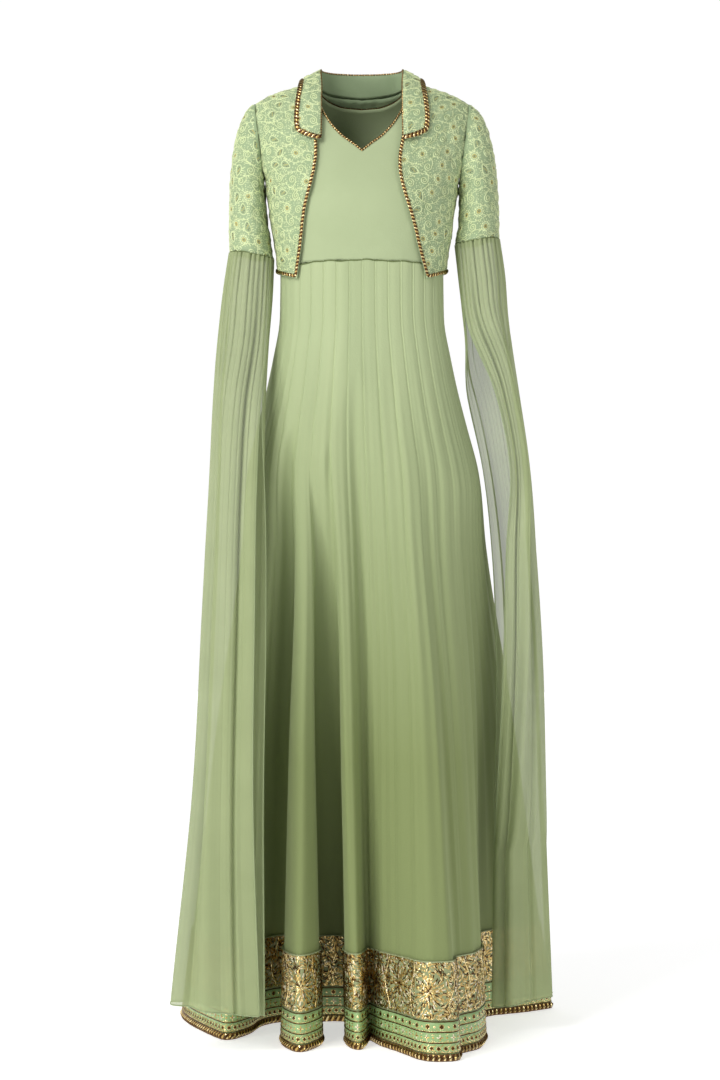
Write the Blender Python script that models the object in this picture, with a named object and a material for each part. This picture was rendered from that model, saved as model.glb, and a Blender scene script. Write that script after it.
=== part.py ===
"""Anarkali suit: a floor-length panelled gown with a V neck, and a cropped open jacket with long sheer sleeves.

Metres, +Z up, the front faces -Y and the wearer's left is +X. The origin is midway between the two
points where the shoulder seams meet the neck. Heights in the tables are measured up from the hem.
"""
import math

import bpy
import numpy as np

# Driving dimensions
GOWN_LENGTH = 1.486
WALL = 0.0012
SEAM_GAP = 0.0003
LAID_GAP = 0.0006
JACKET_EASE = 0.0055
KALI_COUNT = 36
GATHER_COUNT = 28
NECK_HALF = 0.072
JACKET_NECK_HALF = 0.078
UNDERARM = 1.325
SHOULDER_ROUND = 0.070
FORM_POWER = 2.5
BORDER_TOP = 0.147
GOLD_BAND_FOOT = 0.059
LACE_TOP = 0.011
CORD_THICK = 0.0018
PIPING_RADIUS = 0.0015
COLLAR_CORD_WIDE = 0.009
PLEAT_CROWN = 0.0009

# Bodice rings: height, half width, depth in front, depth behind
BODICE_RINGS = [
    (1.170, 0.1265, 0.090, 0.086),
    (1.203, 0.1270, 0.093, 0.088),
    (1.250, 0.1330, 0.104, 0.094),
    (1.300, 0.1405, 0.113, 0.100),
    (1.350, 0.1520, 0.101, 0.106),
    (1.400, 0.1640, 0.080, 0.103),
    (1.440, 0.1710, 0.064, 0.092),
    (1.490, 0.1750, 0.050, 0.078),
]

# Shoulder line: distance from the middle, height
SHOULDER = [(0.050, 1.489), (0.072, 1.486), (0.100, 1.482), (0.125, 1.475), (0.150, 1.465), (0.175, 1.449)]

# Armhole: height, share of the half width that the edge reaches
ARMHOLE = [(UNDERARM, 1.000), (1.340, 0.985), (1.370, 0.958), (1.405, 0.940), (1.440, 0.935), (1.470, 0.935)]

# Necklines: distance from the middle, height
NECK_FRONT = [(0.000, 1.374), (0.012, 1.384), (0.036, 1.404), (0.054, 1.428), (0.065, 1.452), (0.072, 1.486)]
NECK_BACK = [(0.000, 1.462), (0.040, 1.467), (0.060, 1.476), (0.072, 1.486)]
JACKET_NECK_BACK = [(0.000, 1.476), (0.050, 1.481), (0.078, 1.490)]

# Jacket front edges: height, distance from the middle on the wearer's right, and on the left
JACKET_EDGE = [
    (1.178, 0.1005, 0.1005),
    (1.220, 0.0940, 0.0880),
    (1.260, 0.0890, 0.0780),
    (1.292, 0.0842, 0.0680),
    (1.315, 0.0780, 0.0610),
    (1.340, 0.0720, 0.0560),
    (1.365, 0.0685, 0.0560),
    (1.390, 0.0685, 0.0600),
    (1.450, 0.0720, 0.0690),
    (1.490, 0.0780, 0.0780),
]

# Skirt rings: height, half width, front reach, back reach, where the widest line lies in Y, middle in X
SKIRT_RINGS = [
    (1.203, 0.1270, -0.093, 0.088, 0.000, 0.000),
    (1.153, 0.1275, -0.089, 0.087, 0.000, 0.000),
    (1.112, 0.1290, -0.090, 0.092, 0.002, 0.000),
    (1.066, 0.1375, -0.096, 0.104, 0.006, 0.000),
    (1.007, 0.1500, -0.103, 0.124, 0.012, 0.000),
    (0.949, 0.1650, -0.109, 0.143, 0.020, 0.000),
    (0.894, 0.1790, -0.115, 0.160, 0.027, 0.001),
    (0.763, 0.1915, -0.130, 0.195, 0.042, 0.003),
    (0.500, 0.2300, -0.158, 0.265, 0.068, 0.007),
    (0.250, 0.2600, -0.182, 0.320, 0.086, 0.011),
    (0.000, 0.2900, -0.205, 0.370, 0.100, 0.015),
]

# Folds at the hem: name, pleat number from the front middle, direction in degrees, X, Y, height where it starts
HEM_FOLDS = [
    ("centre valley", -0.5, -1, 0.0130, -0.045, 1.03),
    ("wide fold left part", 0.3, 4, 0.0260, -0.085, 1.00),
    ("wide fold middle", 1.2, 12, 0.0591, -0.142, 1.00),
    ("wide fold crest", 2.3, 21, 0.1050, -0.212, 1.00),
    ("wide fold edge", 3.0, 26, 0.1430, -0.206, 0.99),
    ("thin valley", 3.4, 29, 0.1490, -0.148, 0.96),
    ("side fold crest", 4.1, 35, 0.1670, -0.132, 0.90),
    ("side fold edge", 5.0, 45, 0.1890, -0.066, 0.86),
    ("deep valley left", 5.7, 54, 0.1870, 0.050, 0.86),
    ("deep valley foot", 6.4, 63, 0.2040, 0.152, 0.86),
    ("left rear flank", 7.2, 74, 0.2560, 0.182, 0.86),
    ("left rear crest", 8.5, 87, 0.3160, 0.228, 0.86),
    ("left back valley", 10.0, 100, 0.1900, 0.232, 0.88),
    ("left back crest", 11.5, 115, 0.2360, 0.342, 0.90),
    ("back valley 1", 13.0, 130, 0.1270, 0.285, 0.92),
    ("back crest 1", 15.0, 149, 0.1300, 0.402, 0.92),
    ("back valley 2", 16.5, 165, 0.0530, 0.300, 0.94),
    ("back crest 2", 18.0, 180, 0.0150, 0.422, 0.95),
    ("back valley 3", 19.5, 195, -0.0300, 0.304, 0.94),
    ("back crest 3", 21.0, 210, -0.0980, 0.400, 0.93),
    ("back valley 4", 22.5, 226, -0.0960, 0.276, 0.92),
    ("right back crest", 24.0, 241, -0.2000, 0.336, 0.90),
    ("right back valley", 25.5, 257, -0.1600, 0.222, 0.88),
    ("right rear crest", 27.0, 272, -0.2800, 0.200, 0.86),
    ("right side flank", 28.7, 289, -0.2440, 0.010, 0.86),
    ("right side crest", 29.9, 306, -0.2080, -0.048, 0.88),
    ("right side edge", 30.8, 317, -0.1800, -0.004, 0.90),
    ("right valley side", 31.3, 324, -0.1540, 0.082, 0.93),
    ("right valley foot", 31.7, 328, -0.1270, 0.104, 0.96),
    ("right fold edge", 32.1, 333, -0.1180, -0.098, 0.96),
    ("right fold crest", 32.5, 336, -0.0950, -0.143, 0.94),
    ("right fold inner edge", 32.9, 339, -0.0680, -0.100, 0.92),
    ("inner valley side", 33.3, 343, -0.0600, 0.110, 0.90),
    ("inner valley foot", 33.7, 348, -0.0310, 0.110, 0.90),
    ("inner fold edge", 34.1, 351, -0.0190, -0.100, 0.94),
    ("inner fold crest", 34.6, 354, -0.0050, -0.128, 0.98),
    ("inner fold right edge", 35.1, 356.5, 0.0050, -0.090, 1.02),
]
SKIRT_HEIGHTS = [1.140, 1.060, 0.970, 0.870, 0.740, 0.560, 0.350, BORDER_TOP, GOLD_BAND_FOOT, LACE_TOP, 0.0]
HEM_STEP = 0.050
HEM_ROUNDING = 0.022
FOLD_TURN_TOP = 1.150
FOLD_TURN_DEPTH = 0.600

# Lower sleeves: height, outer edge, inner edge, front free edge (all distances from the middle), middle in Y,
# half depth, how far the slit is open
SLEEVE_ROWS_RIGHT = [
    (1.2200, 0.2070, 0.1390, 0.1435, -0.005, 0.0450, 0.0),
    (1.1700, 0.2140, 0.1400, 0.1450, -0.012, 0.0460, 0.0),
    (1.0800, 0.2220, 0.1450, 0.1500, -0.036, 0.0440, 0.0),
    (0.9900, 0.2255, 0.1480, 0.1580, -0.074, 0.0400, 0.1),
    (0.8500, 0.2290, 0.1480, 0.1640, -0.104, 0.0370, 0.4),
    (0.6500, 0.2370, 0.1490, 0.1670, -0.128, 0.0340, 0.5),
    (0.3800, 0.2515, 0.1530, 0.1690, -0.146, 0.0320, 0.5),
    (0.0680, 0.2890, 0.1530, 0.1600, -0.152, 0.0300, 0.5),
]
SLEEVE_ROWS_LEFT = [
    (1.2420, 0.2150, 0.1470, 0.1515, 0.000, 0.0450, 0.0),
    (1.1900, 0.2230, 0.1520, 0.1565, 0.002, 0.0460, 0.0),
    (1.1150, 0.2290, 0.1600, 0.1670, 0.004, 0.0450, 0.2),
    (1.0070, 0.2450, 0.1690, 0.2070, 0.006, 0.0430, 1.0),
    (0.8980, 0.2610, 0.1930, 0.2300, 0.004, 0.0370, 1.0),
    (0.7600, 0.2710, 0.2090, 0.2270, 0.004, 0.0350, 1.0),
    (0.6000, 0.2800, 0.2150, 0.2240, 0.006, 0.0330, 1.0),
    (0.3600, 0.2880, 0.2120, 0.2140, 0.030, 0.0330, 1.0),
    (0.0470, 0.3010, 0.2080, 0.2000, 0.038, 0.0300, 1.0),
]
GATHER_DEPTH_TOP = 0.0016
GATHER_DEPTH_FOOT = 0.0009
SOFT_FOLD_COUNT = 5
SOFT_FOLD_DEPTH = 0.0045

# Upper sleeves: outer and inner points of the elbow seam and of the fullest ring (distance, height), then Y
UPPER_SLEEVE_RIGHT = {
    "elbow_outer": (0.2070, 1.2266), "elbow_inner": (0.1390, 1.2160), "elbow_y": -0.005, "elbow_depth": 0.045,
    "full_outer": (0.2130, 1.4400), "full_inner": (0.1500, 1.2740), "full_y": 0.000, "full_depth": 0.060,
}
UPPER_SLEEVE_LEFT = {
    "elbow_outer": (0.2150, 1.2480), "elbow_inner": (0.1470, 1.2390), "elbow_y": 0.000, "elbow_depth": 0.045,
    "full_outer": (0.2150, 1.4400), "full_inner": (0.1550, 1.2800), "full_y": 0.000, "full_depth": 0.060,
}

# Collar in front: height and distance of the roll line, height and distance of the outer edge
COLLAR_FRONT = [
    (1.3920, 0.0640, 1.4020, 0.0960),
    (1.4010, 0.0635, 1.4110, 0.1030),
    (1.4280, 0.0630, 1.4320, 0.1045),
    (1.4530, 0.0630, 1.4600, 0.1020),
    (1.4700, 0.0630, 1.4730, 0.1000),
    (1.4840, 0.0630, 1.4830, 0.0985),
]
COLLAR_CREST = 1.512
COLLAR_BACK_FOOT = 1.458
COLLAR_LIFT = 0.0052
COLLAR_BACK_STEPS = 6
COLLAR_SEAM_LIFT = 0.0021


def smooth_table(rows, column, at):
    """A column of a table read smoothly between its rows, which may rise or fall in the first column."""
    table = np.array(rows, dtype=float)
    table = table[np.argsort(table[:, 0])]
    x, y = table[:, 0], table[:, column]
    slope = np.gradient(y, x)
    at = np.clip(np.asarray(at, dtype=float), x[0], x[-1])
    i = np.clip(np.searchsorted(x, at, side="right") - 1, 0, len(x) - 2)
    span = x[i + 1] - x[i]
    t = (at - x[i]) / span
    return ((2 * t**3 - 3 * t**2 + 1) * y[i] + (t**3 - 2 * t**2 + t) * span * slope[i]
            + (3 * t**2 - 2 * t**3) * y[i + 1] + (t**3 - t**2) * span * slope[i + 1])


def place(x, y, height):
    """A point in the part's frame from its height above the hem."""
    x, y, height = np.broadcast_arrays(x, y, height)
    return np.stack([x, y, height - GOWN_LENGTH], axis=-1)


def unit(vectors):
    return vectors / np.maximum(np.linalg.norm(vectors, axis=-1, keepdims=True), 1e-9)


def normals_of(grid, closed=False):
    """Normals of a grid of points, a little longer at a sharp fold so that its walls keep their thickness."""
    steps = unit(np.roll(grid, -1, axis=1) - grid)
    if not closed:
        steps[:, -1] = steps[:, -2]
    before = np.roll(steps, 1, axis=1)
    if not closed:
        before[:, 0] = steps[:, 0]
    across = steps + before
    normal = unit(np.cross(across, np.gradient(grid, axis=0)))
    bend = np.linalg.norm(across, axis=2, keepdims=True) / 2
    return normal / np.maximum(bend, 0.6)


def pull_in_sides(grid, distance):
    """The grid with its first and last column moved inwards, which leaves half of a seam's gap."""
    grid = grid.copy()
    for edge, inside in ((0, 1), (-1, -2)):
        way = grid[:, inside] - grid[:, edge]
        grid[:, edge] += distance * way / np.linalg.norm(way, axis=1, keepdims=True)
    return grid


def laid_on(panel, outward, pick, thickness):
    """The outer and inner points of what lies on a panel: some of its points, moved out along its normals."""
    normal = outward * normals_of(panel)
    return panel[pick] + normal[pick] * (LAID_GAP + thickness), panel[pick] + normal[pick] * LAID_GAP


def cloth_material(name, colour, roughness, metallic=0.0):
    material = bpy.data.materials.new(name)
    material.use_nodes = True
    shader = material.node_tree.nodes["Principled BSDF"]
    shader.inputs["Base Color"].default_value = (*colour, 1.0)
    shader.inputs["Roughness"].default_value = roughness
    shader.inputs["Metallic"].default_value = metallic
    return material


def add_wall(name, outer, inner, material, closed=False):
    """One closed body between an outer and an inner grid of points, joined by a rim at the free edges."""
    rows, columns = outer.shape[:2]
    vertices = np.concatenate([outer.reshape(-1, 3), inner.reshape(-1, 3)])
    back = rows * columns
    faces = []
    last = columns if closed else columns - 1
    for r in range(rows - 1):
        for c in range(last):
            d = (c + 1) % columns
            a, b, e, f = r * columns + c, r * columns + d, (r + 1) * columns + d, (r + 1) * columns + c
            faces += [(a, b, e), (a, e, f), (back + a, back + e, back + b), (back + a, back + f, back + e)]
    for r, turn in ((0, 1), (rows - 1, -1)):
        for c in range(last):
            a, b = r * columns + c, r * columns + (c + 1) % columns
            faces += [(b, a, back + a)[::turn], (b, back + a, back + b)[::turn]]
    if not closed:
        for c, turn in ((0, -1), (columns - 1, 1)):
            for r in range(rows - 1):
                a, b = r * columns + c, (r + 1) * columns + c
                faces += [(b, a, back + a)[::turn], (b, back + a, back + b)[::turn]]
    return add_mesh(name, vertices, faces, material)


def add_mesh(name, vertices, faces, material):
    """A mesh object whose faces point outwards."""
    corners = vertices[np.array(faces)]
    volume = np.einsum("ij,ij->i", corners[:, 0], np.cross(corners[:, 1], corners[:, 2])).sum()
    if volume < 0:
        faces = [face[::-1] for face in faces]
    mesh = bpy.data.meshes.new(name)
    mesh.from_pydata(vertices.tolist(), [], faces)
    mesh.materials.append(material)
    mesh.shade_smooth()
    mesh.set_sharp_from_angle(angle=math.radians(50))
    part = bpy.data.objects.new(name, mesh)
    bpy.context.collection.objects.link(part)
    return part


def shoulder_height(x):
    return smooth_table(SHOULDER, 1, np.abs(x))


def edge_share(height):
    """The share of the half width where a bodice or jacket panel ends: 1 at the side seam, less at the armhole."""
    height = np.asarray(height, dtype=float)
    return np.where(height <= UNDERARM, 1.0, smooth_table(ARMHOLE, 1, height))


def form_point(face, share, height, ease):
    """A point of the worn form: face is -1 in front and 1 behind, share runs over the half width."""
    half = smooth_table(BODICE_RINGS, 1, height) + ease
    depth = smooth_table(BODICE_RINGS, 2 if face < 0 else 3, height) + ease
    x = half * share
    round_off = np.maximum(1 - np.abs(share) ** FORM_POWER, 0) ** (1 / FORM_POWER)
    below = np.clip((shoulder_height(x) + ease - height) / SHOULDER_ROUND, 0, 1)
    y = face * depth * round_off * np.sqrt(1 - (1 - below) ** 2)
    return place(x, y, height)


def top_height(x, neck, ease):
    """The upper edge of a panel: the neckline near the middle, then the shoulder seam."""
    x = np.abs(x)
    neck_side = neck[-1][0]
    return np.where(x < neck_side, smooth_table(neck, 1, x), shoulder_height(x) + ease)


def panel_columns(turns, rows, foot, neck, ease, face, turn_start=None):
    """Columns of a bodice or jacket panel. Each runs from the lower edge to the neckline or shoulder seam."""
    columns = []
    for turn in turns:
        level = np.full(1, 1.47)
        for _ in range(40):
            share = share_at(turn, level, ease, turn_start)
            x = (smooth_table(BODICE_RINGS, 1, level) + ease) * share
            level = np.minimum(0.5 * level + 0.5 * top_height(x, neck, ease), 1.4895 + ease)
        start = foot(turn)
        height = start + (level[0] - start) * rows
        share = share_at(turn, height, ease, turn_start)
        columns.append(form_point(face, share, height, ease))
    return np.stack(columns, axis=1)


def share_at(turn, height, ease, turn_start):
    """How far out a column lies at a height: turn runs from -1 to 1 over a panel, or 0 to 1 from a front edge."""
    reach = np.arcsin(np.clip(edge_share(height), 0, 1))
    if turn_start is None:
        return np.sin(turn * reach)
    half = smooth_table(BODICE_RINGS, 1, height) + ease
    side, column = turn_start
    start = np.arcsin(np.clip(smooth_table(JACKET_EDGE, column, height) / half, 0, 1))
    return side * np.sin(start + (reach - start) * turn)


def under_bust(turn):
    """The under-bust seam dips towards the sides."""
    return seam_height(math.sin(turn * math.pi / 2))


def seam_height(share):
    return 1.1995 + 0.0065 * (1 - share * share)


def neck_turn(neck_side, ease, neck):
    """The column that ends where the neckline meets the shoulder seam."""
    turns = np.linspace(0, 1, 400)
    level = smooth_table(SHOULDER, 1, neck_side) + ease
    x = (smooth_table(BODICE_RINGS, 1, level) + ease) * np.sin(turns * np.arcsin(edge_share(level)))
    return float(np.interp(neck_side, x, turns))


BODICE_ROWS = np.array([0, 0.10, 0.22, 0.34, 0.46, 0.58, 0.70, 0.80, 0.88, 0.94, 0.98, 1.0])


def bodice_turns(side_steps=4, neck_steps=4):
    split = neck_turn(NECK_HALF, 0.0, NECK_FRONT)
    half = list(np.linspace(0, split, neck_steps + 1)) + list(np.linspace(split, 1, side_steps + 1))[1:]
    return [-turn for turn in half[:0:-1]] + half


def bodice_panel(face, neck, ease):
    return panel_columns(bodice_turns(), BODICE_ROWS, under_bust, neck, ease, face)


def make_bodice(cloth, gold):
    for name, face, neck in (("bodice_front", -1, NECK_FRONT), ("bodice_back", 1, NECK_BACK)):
        outer = pull_in_sides(bodice_panel(face, neck, 0.0), 0.0004)
        inner = pull_in_sides(bodice_panel(face, neck, -WALL), 0.0004)
        outer[..., 1] += face * SEAM_GAP / 2
        inner[..., 1] += face * SEAM_GAP / 2
        add_wall(name, outer, inner, cloth)
    edges = []
    for face, neck in ((-1, NECK_FRONT), (1, NECK_BACK)):
        panel = (bodice_panel(face, neck, 0.0) + bodice_panel(face, neck, -WALL)) / 2
        at_neck = np.abs(bodice_turns()) <= neck_turn(NECK_HALF, 0.0, neck) + 1e-6
        normal = -face * normals_of(panel)
        edges.append((panel[-1, at_neck], normal[-1, at_neck]))
    add_neck_piping(edges, gold)


def add_neck_piping(edges, gold):
    """A thin round cord on the edge of the whole neckline, one closed ring."""
    (front, front_normal), (back, back_normal) = edges
    edge = np.concatenate([front, back[-2:0:-1]])
    normal = np.concatenate([front_normal, back_normal[-2:0:-1]])
    along = np.roll(edge, -1, axis=0) - np.roll(edge, 1, axis=0)
    along /= np.linalg.norm(along, axis=1, keepdims=True)
    inward = np.cross(normal, along)
    inward /= np.linalg.norm(inward, axis=1, keepdims=True)
    inward *= np.where(((edge.mean(axis=0) - edge) * inward).sum(axis=1) < 0, -1, 1)[:, None]
    inward[:, 2] = np.maximum(inward[:, 2], 0.3)
    inward /= np.linalg.norm(inward, axis=1, keepdims=True)
    outward = np.cross(along, inward)
    middle = edge + inward * (PIPING_RADIUS + LAID_GAP)
    around = [middle + PIPING_RADIUS * (math.cos(turn) * inward + math.sin(turn) * outward)
              for turn in np.linspace(0, 2 * math.pi, 7)[:-1]]
    add_ring_tube("neck_piping", np.array(around), gold)


def add_ring_tube(name, grid, material):
    """A closed ring of tube: the grid's rows go round the tube and its columns along the ring."""
    around, along = grid.shape[:2]
    faces = []
    for r in range(around):
        for c in range(along):
            a, b = r * along + c, r * along + (c + 1) % along
            d, e = (r + 1) % around * along + c, (r + 1) % around * along + (c + 1) % along
            faces += [(a, b, e), (a, e, d)]
    add_mesh(name, grid.reshape(-1, 3), faces, material)


def ring_at(height, angle):
    """The smooth skirt ring at a height: angle in radians from the front middle towards +X."""
    half, front, back, wide, middle = (smooth_table(SKIRT_RINGS, column, height) for column in range(1, 6))
    sine, cosine = np.sin(angle), np.cos(angle)
    power = 2 / FORM_POWER
    x = middle + half * np.sign(sine) * np.abs(sine) ** power
    reach = np.where(cosine > 0, wide - front, back - wide)
    return x, wide - reach * np.sign(cosine) * np.abs(cosine) ** power


def arc_angle(height, fraction):
    """The ring angle that lies the given fraction of the way round, by arc length."""
    angles = np.linspace(0, 2 * math.pi, 721)
    x, y = ring_at(height, angles)
    walked = np.concatenate([[0], np.cumsum(np.hypot(np.diff(x), np.diff(y)))])
    return np.interp(fraction, walked / walked[-1], angles)


def fold_values():
    """The hem folds as arrays that wrap once past each end."""
    rows = np.array([row[1:] for row in HEM_FOLDS], dtype=float)
    before, after = rows[-2:].copy(), rows[:3].copy()
    before[:, 0] -= KALI_COUNT
    before[:, 1] -= 360
    after[:, 0] += KALI_COUNT
    after[:, 1] += 360
    return np.concatenate([before, rows, after])


def hem_at(pleat):
    """The folded hem line at a pleat number, as a smooth curve through the folds."""
    rows = fold_values()
    steps = np.hypot(np.diff(rows[:, 2]), np.diff(rows[:, 3]))
    knots = np.concatenate([[0], np.cumsum(steps)])
    where = np.interp(pleat, rows[:, 0], knots)
    points = [(knot, row[2], row[3]) for knot, row in zip(knots, rows)]
    spread = [where + HEM_ROUNDING * share for share in (-1, -0.5, 0, 0.5, 1)]
    return tuple(sum(smooth_table(points, column, at) for at in spread) / len(spread) for column in (1, 2))


def skirt_point(pleat, height):
    """A point of the skirt: a smooth ring at the top that breaks into the hem's folds on its way down."""
    pleat, height = np.broadcast_arrays(np.asarray(pleat, dtype=float), np.asarray(height, dtype=float))
    rows = fold_values()
    wrapped = np.where(pleat > 35.5, pleat - KALI_COUNT, pleat)
    fold_angle = np.radians(smooth_table(rows, 1, wrapped))
    fold_angle = np.where(pleat > 35.5, fold_angle + 2 * math.pi, fold_angle)
    start = smooth_table(rows, 4, wrapped)
    round_share = pleat / KALI_COUNT
    even_angle = arc_angle(1.203, round_share % 1.0) + 2 * math.pi * np.floor(round_share)
    turn = np.clip((FOLD_TURN_TOP - height) / FOLD_TURN_DEPTH, 0, 1)
    turn = turn * turn * (3 - 2 * turn)
    angle = even_angle + (fold_angle - even_angle) * turn
    ring_x, ring_y = ring_at(height, angle)
    foot_x, foot_y = ring_at(np.zeros_like(height), fold_angle)
    hem_x, hem_y = hem_at(wrapped)
    grown = np.clip((start - height) / start, 0, 1) ** 1.12
    crown = PLEAT_CROWN * np.sin(math.pi * (pleat % 1.0)) ** 2 * np.clip((height - 0.74) / 0.2, 0, 1)
    x = ring_x + grown * (hem_x - foot_x)
    y = ring_y + grown * (hem_y - foot_y)
    return place(x + crown * np.sin(angle), y - crown * np.cos(angle), height)


def kali_pleats():
    """For each kali the pleat numbers of its columns: its two seams, the folds between, and even steps."""
    result = []
    for kali in range(KALI_COUNT):
        folds = [row[1] % KALI_COUNT for row in HEM_FOLDS if kali + 0.15 < row[1] % KALI_COUNT < kali + 0.85]
        marks = [kali, *(folds or [kali + 0.5]), kali + 1]
        columns = [kali]
        for low, high in zip(marks, marks[1:]):
            fine = np.linspace(low, high, 101)
            x, y = hem_at(np.where(fine > 35.5, fine - KALI_COUNT, fine))
            walked = np.concatenate([[0], np.cumsum(np.hypot(np.diff(x), np.diff(y)))])
            count = max(1, round(walked[-1] / HEM_STEP))
            columns += list(np.interp(np.linspace(0, walked[-1], count + 1)[1:], walked, fine))
        result.append(columns)
    return result


def skirt_grids():
    """The whole skirt as one closed grid of outer points and normals, with the first column of each kali."""
    columns = kali_pleats()
    pleats = np.concatenate([column[:-1] for column in columns])
    starts = np.concatenate([[0], np.cumsum([len(column) - 1 for column in columns])])
    x, _ = ring_at(np.full(len(pleats), 1.203), arc_angle(1.203, pleats / KALI_COUNT))
    top = seam_height(x / SKIRT_RINGS[0][1]) - SEAM_GAP - 0.0002
    heights = np.vstack([top] + [np.full(len(pleats), level) for level in SKIRT_HEIGHTS])
    outer = skirt_point(np.broadcast_to(pleats, heights.shape), heights)
    return outer, normals_of(outer, closed=True), starts


def make_skirt(cloth, gold_band, green_band, lace):
    outer, normal, starts = skirt_grids()
    inner = outer - WALL * normal
    count = outer.shape[1]
    for kali in range(KALI_COUNT):
        pick = np.arange(starts[kali], starts[kali + 1] + 1) % count
        add_wall(f"skirt_kali_{kali + 1:02d}", pull_in_sides(outer[:, pick], SEAM_GAP / 2),
                 pull_in_sides(inner[:, pick], SEAM_GAP / 2), cloth)
    rows = [round(level, 4) for level in [9.0] + SKIRT_HEIGHTS]
    gap = np.array([0, 0, 0.0001])
    for name, high, low, material in (("hem_gold_band", BORDER_TOP, GOLD_BAND_FOOT, gold_band),
                                      ("hem_green_band", GOLD_BAND_FOOT, LACE_TOP, green_band),
                                      ("hem_lace", LACE_TOP, 0.0, lace)):
        first, last = rows.index(round(high, 4)), rows.index(round(low, 4))
        under = outer[first:last + 1] + SEAM_GAP * normal[first:last + 1]
        over = under + WALL * normal[first:last + 1]
        under[0] -= 1.5 * gap
        over[0] -= 1.5 * gap
        under[-1] += 1.5 * gap
        over[-1] += 1.5 * gap
        add_wall(name, over, under, material, closed=True)


def jacket_foot(turn):
    """The jacket's hem rises from the front edges to the sides."""
    return 1.179 + 0.016 * turn


JACKET_ROWS = np.array([0, 0.028, 0.10, 0.20, 0.32, 0.44, 0.56, 0.68, 0.79, 0.88, 0.94, 0.98, 1.0])
JACKET_TURNS = [0.0, 0.075, 0.22, 0.40, 0.60, 0.80, 1.0]
JACKET_NECK_FRONT = [(0.000, 1.4895), (0.060, 1.4900), (0.078, 1.4905)]


def jacket_front(side, ease, turns, rows=JACKET_ROWS):
    """A jacket front on one side: the first column is its free edge and neckline, the last its side and armhole."""
    column = 2 if side > 0 else 1
    return panel_columns(turns, rows, jacket_foot, JACKET_NECK_FRONT, ease, -1, (side, column))


def jacket_back(ease, turns, rows=JACKET_ROWS, foot=None):
    return panel_columns(turns, rows, foot or (lambda turn: 1.195), JACKET_NECK_BACK, ease, 1)


def jacket_back_turns():
    """Columns of the jacket back, with one on each side where the neckline meets the shoulder seam."""
    split = neck_turn(JACKET_NECK_HALF, JACKET_EASE, JACKET_NECK_BACK)
    half = list(np.linspace(0, split, 4)) + list(np.linspace(split, 1, 5))[1:]
    return [-turn for turn in half[:0:-1]] + half


def front_cord_path():
    """Row and column numbers along a jacket front's edge, down to the corner and along the hem, twice:
    for the cord's outer line and for its inner line."""
    rows = list(range(len(JACKET_ROWS) - 6, 1, -1))
    columns = list(range(2, len(JACKET_TURNS)))
    outer = [(row, 0) for row in rows] + [(0, 0)] + [(0, column) for column in columns]
    inner = [(row, 1) for row in rows] + [(1, 1)] + [(1, column) for column in columns]
    return tuple(np.array([outer, inner]).transpose(2, 0, 1))


def make_jacket(cloth, cord):
    for name, side in (("jacket_front_left", 1), ("jacket_front_right", -1)):
        outer = pull_in_sides(jacket_front(side, JACKET_EASE, JACKET_TURNS), 0.0004)
        inner = pull_in_sides(jacket_front(side, JACKET_EASE - WALL, JACKET_TURNS), 0.0004)
        outer[..., 1] -= SEAM_GAP / 2
        inner[..., 1] -= SEAM_GAP / 2
        add_wall(name, outer, inner, cloth)
        add_wall(name.replace("jacket", "cord"), *laid_on(outer, side, front_cord_path(), CORD_THICK), cord)
    turns = jacket_back_turns()
    outer = pull_in_sides(jacket_back(JACKET_EASE, turns), 0.0004)
    inner = pull_in_sides(jacket_back(JACKET_EASE - WALL, turns), 0.0004)
    outer[..., 1] += SEAM_GAP / 2
    inner[..., 1] += SEAM_GAP / 2
    add_wall("jacket_back", outer, inner, cloth)
    add_wall("cord_hem_back", *laid_on(outer, -1, slice(0, 2), CORD_THICK), cord)


def on_jacket(face, x, height, lift):
    """A point over the jacket's outer surface, lifted along the form's own slope, up at the shoulder."""
    height = min(height, float(shoulder_height(x)) + JACKET_EASE)
    half = float(smooth_table(BODICE_RINGS, 1, height)) + JACKET_EASE
    below = min(max((float(shoulder_height(x)) + JACKET_EASE - height) / SHOULDER_ROUND, 0), 1)
    away = np.array([0, face * math.sqrt(1 - (1 - below) ** 2), 1 - below])
    return form_point(face, x / half, np.array(height), JACKET_EASE) + lift * away


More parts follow.
